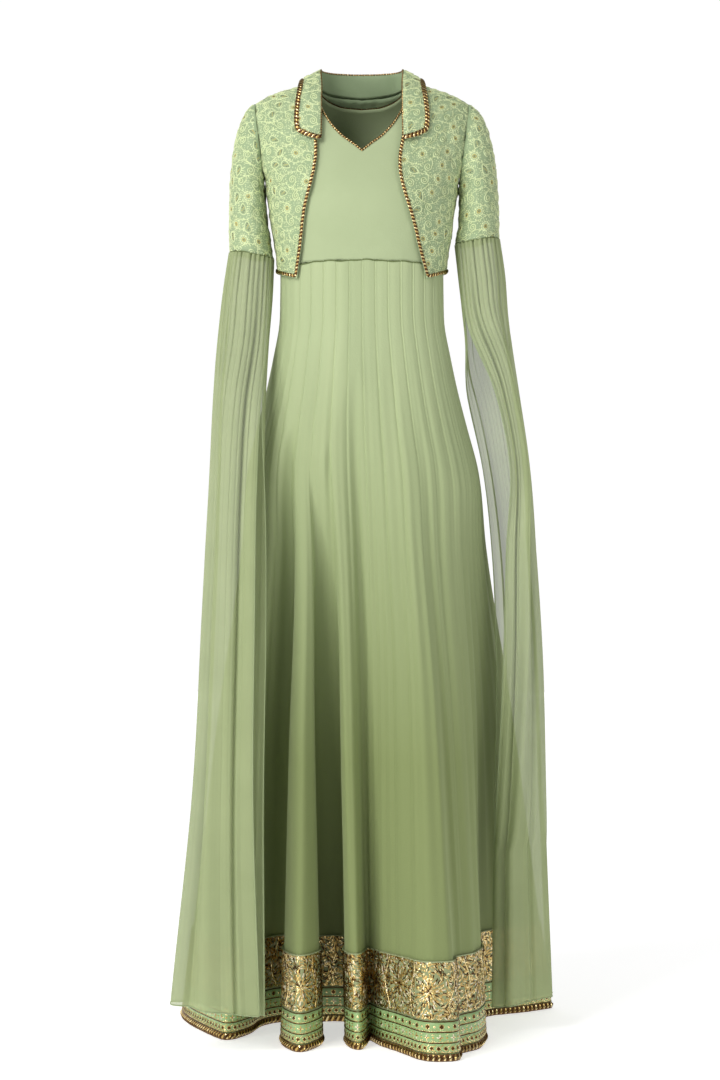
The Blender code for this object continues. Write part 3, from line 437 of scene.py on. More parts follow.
def one_sheet(name, grid, normal, materials, closed=False):
    """A single layer of cloth, whose faces look along the grid's normals."""
    return mesh_piece(name, grid.reshape(-1, 3), faces_over(grid, normal, closed)[0], materials)


# Over the hips the closely tucked cloth looks pale. Below them the open layer is deeper and a little yellower:
# partly the unlined cloth's own tone, partly painted shade for the light that falls off towards the hem.
kali_georgette = woven_cloth("kali_georgette", "#B4C093", "#97A47B", 0.82, 0.3, 2.5, 0.0004, 45, 0.06)
kali_shader = kali_georgette.node_tree.nodes["Principled BSDF"]
lined_tone = kali_shader.inputs["Base Color"].links[0].from_socket
height_on_cloth = add_node(kali_georgette, "ShaderNodeSeparateXYZ", {
    "Vector": add_node(kali_georgette, "ShaderNodeTexCoord").outputs["Object"]}).outputs["Z"]
unlined_and_shaded = add_node(kali_georgette, "ShaderNodeMapRange", {"Value": height_on_cloth, "From Min": -0.40,
                                                          "From Max": -1.05}).outputs["Result"]
shade_toward_hem = add_node(kali_georgette, "ShaderNodeMix", {"Factor": unlined_and_shaded}, data_type="RGBA")
kali_georgette.node_tree.links.new(lined_tone, shade_toward_hem.inputs[6])
# The hem tone: the unlined cloth's own colour, darkened further with painted shade.
shade_toward_hem.inputs[7].default_value = to_linear("#7F8B57")
kali_georgette.node_tree.links.new(shade_toward_hem.outputs[2], kali_shader.inputs["Base Color"])
skirt = one_sheet("kali_skirt", skirt_grid, skirt_normal, [kali_georgette], closed=True)
belongs(skirt, "gown_georgette", *[f"skirt_kali_{kali:02d}" for kali in range(1, KALI_COUNT + 1)])

# Seam lines. Where gathered or tucked cloth is sewn to a smooth piece, the joint shows as a thin shadow line that
# wavers a little. Each is a low ridge painted in a darker tone as that shadow. The under-bust one is piped with
# the gown's own cloth.
painted_seam_shadow = woven_cloth("seam_in_shade", "#6E7B4C", "#59663A", 0.85, 0.0, 2.0, 0.0003, 12)


def seam_ridge(name, ring, out, slot):
    """A low ridge along a closed seam."""
    ring, out = np.concatenate([ring, ring[:1]]), np.concatenate([out, out[:1]])
    ring = ring + out * 0.0003
    ring[:, 2] += 0.0008 * np.sin(ring[:, 0] * 95 + 1) + 0.0005 * np.sin(ring[:, 0] * 230)
    ridge = np.stack([ring - [0, 0, 0.0011], ring + out * 0.0009, ring + [0, 0, 0.0009]])
    belongs(one_sheet(name, ridge, np.stack([out, out, out]), [painted_seam_shadow]), slot)


seam_ridge("under_bust_seam", skirt_grid[-1], skirt_normal[-1], "gown_georgette")

# Hem border. Three trims sewn round the hem: a wide band of metal-bead embroidery on net, a mint satin band in
# three rows parted by bronze lines, and a toothed bead lace at the floor. A thin piping of the georgette closes
# the top.
BORDER_TOP = 0.147
GOLD_BAND_FOOT = 0.059
LACE_TOP = 0.011
GREEN_ROW = 0.016
BORDER_LIFT = 0.0012
BAND_LIFT = 0.0006
SCATTER_STEP = 0.0034
LINE_STEPS = 900


def lit_metal(name, colour, roughness, metallic=1.0):
    """Bead and thread finishes: one colour, with the gloss of the real material."""
    return surface(name, base_color=to_linear(colour), roughness=roughness, metallic=metallic)[0]


# Gold-lined glass bugle beads, bronze bugles and clear crystal: glossy, each facet catches the light alone.
gold_bugle = lit_metal("gold_bugle_bead", "#CFB06E", 0.30)
pale_gold_bugle = lit_metal("pale_gold_bugle_bead", "#F3DDA2", 0.24)
bronze_bugle = lit_metal("bronze_bugle_bead", "#543615", 0.35, 0.8)
crystal_bead = lit_metal("crystal_bead", "#F2E4C4", 0.14, 0.3)
BEADS = [gold_bugle, pale_gold_bugle, bronze_bugle, crystal_bead]
GOLD, PALE, BRONZE, CRYSTAL = range(4)

net_ground = woven_cloth("embroidered_net_ground", "#9BA277", "#858C60", 0.7, 0.1, 3.0, 0.0005, 25)
mint_satin = woven_cloth("mint_satin", "#9DBC80", "#90AF73", 0.42, 0.1, 4.0, 0.0002, 40)
bronze_tape = woven_cloth("bronze_thread_tape", "#7A5526", "#5E3E18", 0.55, 0.0, 2.0, 0.0004, 8)
piping_georgette = woven_cloth("piping_georgette", "#AFBC90", "#A2B084", 0.8, 0.1, 2.0, 0.0003)


def flat_map(grid, normal, step=0.003, origin=0, even_up=False, even_across=False):
    """The cloth laid out flat: points and normals at even steps up (v) and across (u, from a chosen column).
    Lengths are the cloth's own along each column and row, or their averages where even is asked for."""
    lengths = np.linalg.norm(np.diff(grid, axis=0), axis=2)
    if even_up:
        lengths = np.broadcast_to(lengths.mean(axis=1, keepdims=True), lengths.shape)
    up = np.concatenate([np.zeros((1, lengths.shape[1])), np.cumsum(lengths, axis=0)])
    levels = np.linspace(0, up[-1].max(), max(2, int(up[-1].max() / step) + 1))
    at = np.stack([np.interp(levels, column, np.arange(len(grid))) for column in up.T], axis=1)
    row = np.minimum(at.astype(int), len(grid) - 2)
    part = (at - row)[..., None]
    real = (levels[:, None] <= up[-1][None, :] + 1e-5).astype(float)[..., None]
    both = np.concatenate([grid, normal], axis=2)
    column = np.arange(grid.shape[1])[None, :]
    both = np.concatenate([both[row, column] * (1 - part) + both[row + 1, column] * part, real], axis=2)
    widths = np.linalg.norm(np.diff(both[..., :3], axis=1), axis=2)
    if even_across:
        widths = np.broadcast_to(widths.mean(axis=0, keepdims=True), widths.shape)
    u = np.concatenate([np.zeros((len(levels), 1)), np.cumsum(widths, axis=1)], axis=1)
    u = u - u[:, origin:origin + 1]
    marks = np.arange(u.min(), u.max() + step, step)
    points = np.stack([[np.interp(marks, u[i], both[i, :, k]) for k in range(7)] for i in range(len(levels))])
    return {"points": np.moveaxis(points, 1, 2), "edges": u[:, [0, -1]], "levels": levels, "first": marks[0],
            "step": marks[1] - marks[0]}


def on_cloth(flat, u, v, lift):
    """Points over the cloth at flat places, their normals, and which of them lie on it."""
    u, v = np.asarray(u, dtype=float), np.asarray(v, dtype=float)
    rows, columns = flat["points"].shape[:2]
    levels = flat["levels"]
    i = np.clip(v / levels[-1] * (rows - 1), 0, rows - 1.001)
    j = np.clip((u - flat["first"]) / flat["step"], 0, columns - 1.001)
    i0, j0 = i.astype(int), j.astype(int)
    fi, fj = (i - i0)[..., None], (j - j0)[..., None]
    p = flat["points"]
    both = (p[i0, j0] * (1 - fi) * (1 - fj) + p[i0 + 1, j0] * fi * (1 - fj)
            + p[i0, j0 + 1] * (1 - fi) * fj + p[i0 + 1, j0 + 1] * fi * fj)
    left = np.interp(v, levels, flat["edges"][:, 0])
    right = np.interp(v, levels, flat["edges"][:, 1])
    inside = (v >= 0) & (v <= levels[-1]) & (u >= left) & (u <= right) & (both[..., 6] > 0.98)
    normal = unit(both[..., 3:6])
    return both[..., :3] + normal * np.asarray(lift, dtype=float)[..., None], normal, inside


def around(u, v, reach, angle):
    """Flat places at a reach and an angle from u, v."""
    return u + reach * np.cos(angle), v + reach * np.sin(angle)


def scattered(draw, u_low, u_high, v_low, v_high, stray):
    """Flat places on a close lattice, each strayed a little."""
    u, v = (axis.ravel() for axis in np.meshgrid(np.arange(u_low, u_high, SCATTER_STEP),
                                                 np.arange(v_low, v_high, SCATTER_STEP)))
    return u + draw.uniform(-stray, stray, u.shape), v + draw.uniform(-stray, stray, v.shape)


def new_work():
    """An empty lot of sewn work, to be drawn flat and then laid on the cloth."""
    return {"points": [], "faces": [], "picks": [], "count": 0}


def add_to(work, points, faces, picks):
    """Adds copies of one small shape: points are (copies, corners, 3) as u, v and lift."""
    copies, corners = points.shape[:2]
    start = work["count"] + corners * np.arange(copies)[:, None, None]
    work["points"].append(points.reshape(-1, 3))
    work["faces"].append((np.array(faces)[None] + start).reshape(-1, 3))
    work["picks"].append(np.repeat(np.broadcast_to(picks, copies), len(faces)))
    work["count"] += copies * corners


def beads(work, u, v, angle, length, width, height, picks):
    """Long beads or satin stitches: an oblong on the cloth with one raised point, four faces each."""
    u, v, angle, length, width, height = np.broadcast_arrays(u, v, angle, length, width, height)
    along = np.stack([np.cos(angle), np.sin(angle), 0 * angle], axis=-1) * (length / 2)[..., None]
    across = np.stack([-np.sin(angle), np.cos(angle), 0 * angle], axis=-1) * (width / 2)[..., None]
    middle = np.stack([u, v, 0 * angle], axis=-1)
    crest = middle + np.stack([0 * angle, 0 * angle, height], axis=-1)
    points = np.stack([middle + along + across, middle - along + across, middle - along - across,
                       middle + along - across, crest], axis=-2)
    add_to(work, points.reshape(-1, 5, 3), [(0, 1, 4), (1, 2, 4), (2, 3, 4), (3, 0, 4)], np.ravel(picks))


def dots(work, u, v, size, height, picks, sides=5):
    """Round beads, sequins and French knots: a low cone on the cloth."""
    u, v = np.broadcast_arrays(np.asarray(u, dtype=float).ravel(), np.asarray(v, dtype=float).ravel())
    turn = np.linspace(0, 2 * math.pi, sides + 1)[:-1]
    ring = np.stack([u[:, None] + size / 2 * np.cos(turn), v[:, None] + size / 2 * np.sin(turn),
                     np.zeros((len(u), sides))], axis=-1)
    crest = np.stack([u, v, np.full(len(u), height)], axis=-1)[:, None]
    faces = [(k, (k + 1) % sides, sides) for k in range(sides)]
    add_to(work, np.concatenate([ring, crest], axis=1), faces, picks)


def stitch_lines(work, paths, width, height, picks):
    """Chain-stitched lines or laid cords: low ridges along paths given as (copies, points, 2)."""
    paths = np.asarray(paths, dtype=float)
    paths = paths.reshape((-1,) + paths.shape[-2:])
    way = np.gradient(paths, axis=1)
    way /= np.maximum(np.linalg.norm(way, axis=2, keepdims=True), 1e-9)
    aside = np.stack([-way[..., 1], way[..., 0]], axis=-1) * width / 2
    flat_lift = np.zeros(paths.shape[:2] + (1,))
    left = np.concatenate([paths + aside, flat_lift], axis=2)
    right = np.concatenate([paths - aside, flat_lift], axis=2)
    crest = np.concatenate([paths, flat_lift + height], axis=2)
    steps = paths.shape[1]
    points = np.stack([right, crest, left], axis=2).reshape(len(paths), steps * 3, 3)
    faces = []
    for k in range(steps - 1):
        a, b = 3 * k, 3 * k + 3
        faces += [(a, b, b + 1), (a, b + 1, a + 1), (a + 1, b + 1, b + 2), (a + 1, b + 2, a + 2)]
    add_to(work, points, faces, picks)


def level_line(length, v):
    """A straight flat line along a band at one height."""
    return np.stack([np.linspace(0, length, LINE_STEPS), np.full(LINE_STEPS, v)], axis=1)


def sew(name, slot, work, flat, materials, lift=0.0002):
    """Lays the drawn work on the cloth, leaves out what falls past its edges, and makes it one mesh."""
    points, faces = np.concatenate(work["points"]), np.concatenate(work["faces"])
    picks = np.concatenate(work["picks"])
    place_on, normal, inside = on_cloth(flat, points[:, 0], points[:, 1], points[:, 2] + lift)
    keep = inside[faces].all(axis=1)
    faces, picks = faces[keep], picks[keep]
    corners = place_on[faces]
    facing = np.cross(corners[:, 1] - corners[:, 0], corners[:, 2] - corners[:, 0])
    if (facing * normal[faces[:, 0]]).sum() < 0:
        faces = faces[:, ::-1]
    used, faces = np.unique(faces, return_inverse=True)
    belongs(mesh_piece(name, place_on[used], faces.reshape(-1, 3), materials, picks, smooth=False), slot)


# The border's own fine grid starts and ends in a valley at the back, where the trims are joined.
border_pleats = 16.5 + np.linspace(0, KALI_COUNT, 1201)
border_heights = np.concatenate([np.linspace(0, LACE_TOP, 4), np.linspace(0.018, GOLD_BAND_FOOT, 7),
                                 np.linspace(0.067, BORDER_TOP, 11)])


border_places = border_pleats[None, :-1] % KALI_COUNT, border_heights[:, None]
border_grid = skirt_point(*border_places)
border_normal = outwards(border_grid, closed=True)
relief = soft_waves(*border_places) + tucks(*border_places) + BORDER_LIFT
border_grid = border_grid + border_normal * relief[..., None]
border_grid = np.concatenate([border_grid, border_grid[:, :1]], axis=1)
border_normal = np.concatenate([border_normal, border_normal[:, :1]], axis=1)


def border_rows(low, high):
    rows = (border_heights > low - 1e-6) & (border_heights < high + 1e-6)
    return border_grid[rows], border_normal[rows]


rng = np.random.default_rng(7)
band_specs = (("gold_band_net", GOLD_BAND_FOOT, BORDER_TOP, net_ground, "hem_gold_band", "gold_bead_band"),
              ("mint_band_satin", LACE_TOP, GOLD_BAND_FOOT, mint_satin, "hem_green_band", "green_band"),
              ("hem_lace_tape", 0.0, LACE_TOP, bronze_tape, "hem_lace", "bead_cord"))
band_flats = {}
for name, low, high, cloth, node, slot in band_specs:
    grid, normal = border_rows(low, high)
    piece = shell(name, grid[:, :-1] + normal[:, :-1] * BAND_LIFT, normal[:, :-1], BAND_LIFT, [cloth], closed=True)
    belongs(piece, slot, node)
    band_flats[node] = flat_map(grid + normal * BAND_LIFT, normal, 0.003, even_up=True, even_across=True)

# Gold band: large chrysanthemums of radiating bugle beads, leaf sprays between them, small fans along both
# edges, and short beads scattered over what is left of the net.
FLOWER_PITCH = 0.073
FLOWER_RINGS = [  # reach, count of beads, and shares of gold, pale gold, bronze and crystal among them
    (0.0030, 8, (0.35, 0.15, 0.47, 0.03)), (0.0078, 18, (0.45, 0.15, 0.35, 0.05)),
    (0.0130, 29, (0.50, 0.20, 0.23, 0.07)), (0.0182, 39, (0.45, 0.25, 0.20, 0.10)),
    (0.0238, 49, (0.40, 0.28, 0.20, 0.12)),
]
LEAF_SHARES = (0.45, 0.30, 0.15, 0.10)
FAN_SHARES = (0.40, 0.35, 0.15, 0.10)
FILL_SHARES = (0.42, 0.22, 0.28, 0.08)
FLOWER_ROOM = 0.0275
band = band_flats["hem_gold_band"]
band_round, band_high = float(band["edges"][:, 1].mean()), float(band["levels"][-1])
flower_count = round(band_round / FLOWER_PITCH)
pitch = band_round / flower_count
work = new_work()
flower_u = (np.arange(flower_count) + 0.5) * pitch + rng.uniform(-0.003, 0.003, flower_count)
flower_v = band_high * 0.47 + rng.uniform(-0.004, 0.004, flower_count)
flower_size = rng.uniform(0.92, 1.06, flower_count)
for ring, (reach, count, shares) in enumerate(FLOWER_RINGS):
    turn = 2 * math.pi * (np.arange(count) + 0.5 * (ring % 2)) / count
    angle = turn[None, :] + rng.uniform(-0.14, 0.14, (flower_count, count))
    away = flower_size[:, None] * (reach + (0.0014 * np.cos(9 * turn) if ring == 4 else 0 * turn))
    beads(work, *around(flower_u[:, None], flower_v[:, None], away, angle),
          angle + rng.uniform(-0.25, 0.25, angle.shape), 0.0066, 0.0020,
          rng.uniform(0.0008, 0.0018, angle.shape), rng.choice(4, angle.size, p=shares))
for gap in range(flower_count):
    next_u = flower_u[gap + 1] if gap < flower_count - 1 else flower_u[0] + band_round
    middle = (flower_u[gap] + next_u) / 2
    lean = rng.uniform(-0.25, 0.25)
    t = np.linspace(0, 1, 14)
    stem = np.stack([middle + 0.007 * np.sin(t * 5.5 + gap), 0.004 + t * (band_high - 0.008)], axis=1)
    stitch_lines(work, stem, 0.0016, 0.0012, rng.choice([GOLD, PALE]))
    for leaf in range(6):
        side = 1 if leaf % 2 else -1
        root = stem[1 + 2 * leaf]
        for spread in np.linspace(-0.55, 0.55, 5):
            angle = math.pi / 2 + side * (-0.95 + spread) + lean
            reach = 0.0075 - 0.003 * abs(spread)
            beads(work, *around(*root, reach, angle), angle, 0.0066, 0.0019, 0.0012,
                  rng.choice(4, 1, p=LEAF_SHARES))
edge_u = np.arange(0.006, band_round, 0.0125)
for v, up in ((0.0016, 1), (band_high - 0.0018, -1)):
    for spread in (-1.0, -0.5, 0.0, 0.5, 1.0):
        angle = up * math.pi / 2 + spread + rng.uniform(-0.1, 0.1, len(edge_u))
        beads(work, *around(edge_u, v, 0.0034, angle), angle, 0.0052, 0.0016, 0.0010,
              rng.choice(4, len(edge_u), p=FAN_SHARES))
fill_u, fill_v = scattered(rng, 0.002, band_round, 0.006, band_high - 0.005, 0.0018)
near = np.min(np.hypot(fill_u[:, None] - flower_u[None, :], fill_v[:, None] - flower_v[None, :]), axis=1)
open_net = (near > FLOWER_ROOM) & (rng.random(len(fill_u)) < 0.80)
fill_u, fill_v = fill_u[open_net], fill_v[open_net]
swirl = np.arctan2(fill_v - band_high / 2, 0.02) + 2.2 * np.sin(fill_u * 2 * math.pi / pitch)
beads(work, fill_u, fill_v, swirl + rng.uniform(-0.5, 0.5, swirl.shape), 0.0056, 0.0018, 0.0012,
      rng.choice(4, len(fill_u), p=FILL_SHARES))
sew("gold_band_embroidery", "gold_bead_band", work, band, BEADS)

# The piping at the band's top is a folded strip of the gown's georgette.
work = new_work()
stitch_lines(work, level_line(band_round, band_high - 0.0008), 0.0030, 0.0016, 0)
sew("border_piping", "gown_georgette", work, band, [piping_georgette])

# Mint band: bronze lines part three rows. The top row alternates dark diamonds and gold dots, the middle one
# small four-petalled flowers and dots, and the lowest is a close row of diamonds.
band = band_flats["hem_green_band"]
band_round, band_high = float(band["edges"][:, 1].mean()), float(band["levels"][-1])
work = new_work()
seed_u = np.arange(0.002, band_round, 0.0046)
for level in (0.0008, GREEN_ROW, 2 * GREEN_ROW, band_high - 0.0010):
    stitch_lines(work, level_line(band_round, level), 0.0017, 0.0011, BRONZE)
    beads(work, seed_u, level + 0.0016, 0.0, 0.0034, 0.0011, 0.0009, rng.choice([GOLD, PALE], len(seed_u)))


def diamonds(work, u, v, width, height):
    """A dark four-sided sequin in a frame of four gold bugles."""
    beads(work, u, v, math.pi / 4, height * 0.72, width * 0.9, 0.0014, BRONZE)
    for turn in range(4):
        angle = math.pi / 4 + turn * math.pi / 2
        beads(work, *around(u, v, 0.62 * width, angle), angle + math.pi / 2, 0.0044, 0.0012, 0.0010,
              rng.choice([GOLD, PALE], len(u)))


def daisies(work, u, v, petal):
    """A small flower of four bugles round a bronze bead."""
    for turn in range(4):
        angle = turn * math.pi / 2
        beads(work, *around(u, v, 0.62 * petal, angle), angle, petal, 0.0019, 0.0012,
              rng.choice([GOLD, PALE, CRYSTAL], len(u)))
    dots(work, u, v, 0.0020, 0.0014, BRONZE)


top_u = np.arange(0.011, band_round, 0.0220)
diamonds(work, top_u, 2.5 * GREEN_ROW, 0.0054, 0.0072)
dots(work, top_u + 0.011, 2.5 * GREEN_ROW, 0.0040, 0.0015, PALE, 6)
for side in (-1, 1):
    dots(work, top_u + 0.011 + side * 0.0038, 2.5 * GREEN_ROW - 0.0038, 0.0018, 0.0008, GOLD, 4)
daisy_u = np.arange(0.008, band_round, 0.0210)
daisies(work, daisy_u, 1.5 * GREEN_ROW, 0.0042)
dots(work, daisy_u + 0.0105, 1.5 * GREEN_ROW, 0.0036, 0.0014, GOLD, 6)
for side in (-1, 1):
    beads(work, daisy_u + 0.0105, 1.5 * GREEN_ROW + side * 0.0045, 0.0, 0.0046, 0.0013, 0.0009, PALE)
low_u = np.arange(0.004, band_round, 0.0108)
diamonds(work, low_u, 0.5 * GREEN_ROW, 0.0046, 0.0060)
for side in (-1, 1):
    beads(work, low_u + 0.0054, 0.5 * GREEN_ROW + side * 0.0042, side * 0.7, 0.0050, 0.0014, 0.0010,
          rng.choice([GOLD, PALE], len(low_u)))
sew("mint_band_embroidery", "green_band", work, band, BEADS)

# Lace: slanted bugles side by side, every third one bronze, with an uneven toothed lower edge.
band = band_flats["hem_lace"]
band_round, band_high = float(band["edges"][:, 1].mean()), float(band["levels"][-1])
work = new_work()
tooth_u = np.arange(0.002, band_round - 0.002, 0.0029)
tooth_v = band_high * 0.52 + 0.0008 * np.sin(np.arange(len(tooth_u)) * 2.1)
picks = np.where(np.arange(len(tooth_u)) % 3 == 2, BRONZE, rng.choice([GOLD, PALE], len(tooth_u)))
beads(work, tooth_u, tooth_v, math.radians(66), band_high * 0.94, 0.0030, 0.0030, picks)
sew("hem_lace_beads", "bead_cord", work, band, BEADS)

# Neck piping. A fine twisted cord of gold and bronze beads, 3 mm thick, on the raw edge of the V neck and of
# the back neck.
def bead_rope(name, nodes, path, normal, width, pitch, slant, height, closed=False):
    """A cord of bugle beads, slanted by some degrees, on a bronze tape. The path lies on the cloth, and the
    normals point out of it."""
    both = np.concatenate([path, normal], axis=1)
    if closed:
        both = np.concatenate([both, both[:1]])
    walked = np.concatenate([[0], np.cumsum(np.linalg.norm(np.diff(both[:, :3], axis=0), axis=1))])
    at = np.linspace(0, walked[-1], max(2, round(walked[-1] / pitch)))
    both = np.stack([np.interp(at, walked, column) for column in both.T], axis=1)
    point, out = both[:, :3], unit(both[:, 3:])
    along = unit(np.gradient(point, axis=0))
    aside = unit(np.cross(out, along))
    slant = math.radians(slant)
    way = math.cos(slant) * along + math.sin(slant) * aside
    flank = unit(np.cross(out, way))
    low, high, half = 0.25 * height, height, pitch * 0.46
    ends = []
    for sign in (-1, 1):
        end = point + sign * way * width / 2
        ends += [end + flank * half + out * low, end + out * high * 0.82, end - flank * half + out * low]
    corners = np.stack(ends + [point + out * high], axis=1)
    tri = [(0, 6, 1), (0, 3, 6), (3, 4, 6), (1, 6, 2), (2, 6, 5), (5, 6, 4), (0, 1, 2), (3, 5, 4)]
    faces = (np.array(tri)[None] + 7 * np.arange(len(point))[:, None, None]).reshape(-1, 3)
    kinds = np.resize([BRONZE, PALE, BRONZE, GOLD], len(point))
    tape = np.stack([point + aside * width * 0.46, point + aside * width * 0.30 + out * height * 0.5,
                     point - aside * width * 0.30 + out * height * 0.5, point - aside * width * 0.46], axis=1)
    base = 7 * len(point)
    k = np.arange(len(point) - 1)[:, None]
    strip = [np.concatenate([np.stack([base + 4 * k + c, base + 4 * k + 4 + c, base + 4 * k + 5 + c], axis=2),
                             np.stack([base + 4 * k + c, base + 4 * k + 5 + c, base + 4 * k + 1 + c], axis=2)],
                            axis=1).reshape(-1, 3) for c in range(3)]
    tape_faces = np.concatenate(strip)
    faces = np.concatenate([faces, tape_faces])[:, ::-1]
    picks = np.concatenate([np.repeat(kinds, len(tri)), np.full(len(tape_faces), 4)])
    piece = mesh_piece(name, np.concatenate([corners.reshape(-1, 3), tape.reshape(-1, 3)]), faces,
                       BEADS + [bronze_tape], picks, smooth=False)
    belongs(piece, "bead_cord", *nodes)


neck_path, neck_normal = [], []
for face, order in ((-1, 1), (1, -1)):
    grid, normal = bodice_grids[face]
    at_neck = np.abs(bodice_turns) <= neck_turn(NECK_HALF, 0.0) + 1e-6
    line = (grid[-1, at_neck] + normal[-1, at_neck] * 0.0004)[::order]
    neck_path.append(line[:-1])
    neck_normal.append(normal[-1, at_neck][::order][:-1])
bead_rope("neck_piping_cord", ["neck_piping"], np.concatenate(neck_path), np.concatenate(neck_normal), 0.0030,
          0.0022, 58, 0.0026, closed=True)

# Jacket. Cropped open jacket of the same georgette, closely worked all over with pale chain stitch: scrolls,
# round flowers with gold centres, leaves filled with gold and dark seeds, vines, and knots between them.
JACKET_EASE = 0.0055
JACKET_NECK_HALF = 0.078
JACKET_NECK_FRONT = [(0.000, 1.4895), (0.060, 1.4900), (0.078, 1.4905)]
JACKET_NECK_BACK = [(0.000, 1.476), (0.050, 1.481), (0.078, 1.490)]
JACKET_EDGE = [  # height, distance of the front edge from the middle on the wearer's right, and on the left
    (1.178, 0.1005, 0.1005), (1.220, 0.0940, 0.0880), (1.260, 0.0890, 0.0780), (1.292, 0.0842, 0.0680),
    (1.315, 0.0780, 0.0610), (1.340, 0.0720, 0.0560), (1.365, 0.0685, 0.0560), (1.390, 0.0685, 0.0600),
    (1.450, 0.0720, 0.0690), (1.490, 0.0780, 0.0780),
]
JACKET_CREASES = [  # from x, height to x, height, width, depth
    (-0.150, 1.335, -0.105, 1.300, 0.010, -0.0020), (0.150, 1.330, 0.100, 1.290, 0.010, -0.0022),
    (-0.140, 1.280, -0.105, 1.230, 0.009, 0.0016), (0.138, 1.262, 0.112, 1.215, 0.009, 0.0018),
    (-0.128, 1.400, -0.140, 1.340, 0.009, -0.0016), (0.130, 1.405, 0.142, 1.345, 0.009, -0.0016),
]

# Georgette ground under the stitches, a tone deeper than the gown since the thread shades it; rayon thread,
# pale lime with a soft sheen; gold seed beads.
jacket_ground = woven_cloth("jacket_georgette", "#9EB08A", "#8DA179", 0.8, 0.2, 3.0, 0.0005, 30)
lime_thread = lit_metal("lime_rayon_thread", "#D3DEAA", 0.5, 0.0)
gold_seed = lit_metal("gold_seed_bead", "#CFB55C", 0.3, 0.9)
dark_seed = lit_metal("dark_seed_bead", "#5B4520", 0.4, 0.6)
STITCHES = [lime_thread, gold_seed, dark_seed]
THREAD, SEED, DARK_SEED = range(3)
MOTIF_ACROSS, MOTIF_UP = 0.0250, 0.0215
MOTIF_SHARES = (0.14, 0.25, 0.27, 0.20, 0.14)  # flowers, scrolls, leaves, scrolls, flowers
MOTIF_ROOM = np.array([0.0118, 0.0078, 0.0098, 0.0078, 0.0105])
SCROLL_CURL = 3.7 * math.pi


def within(u, v, turned, along, aside):
    """Flat places inside a motif at u, v, measured along its own turned axis and aside from it."""
    return (u + along * np.cos(turned) - aside * np.sin(turned),
            v + along * np.sin(turned) + aside * np.cos(turned))


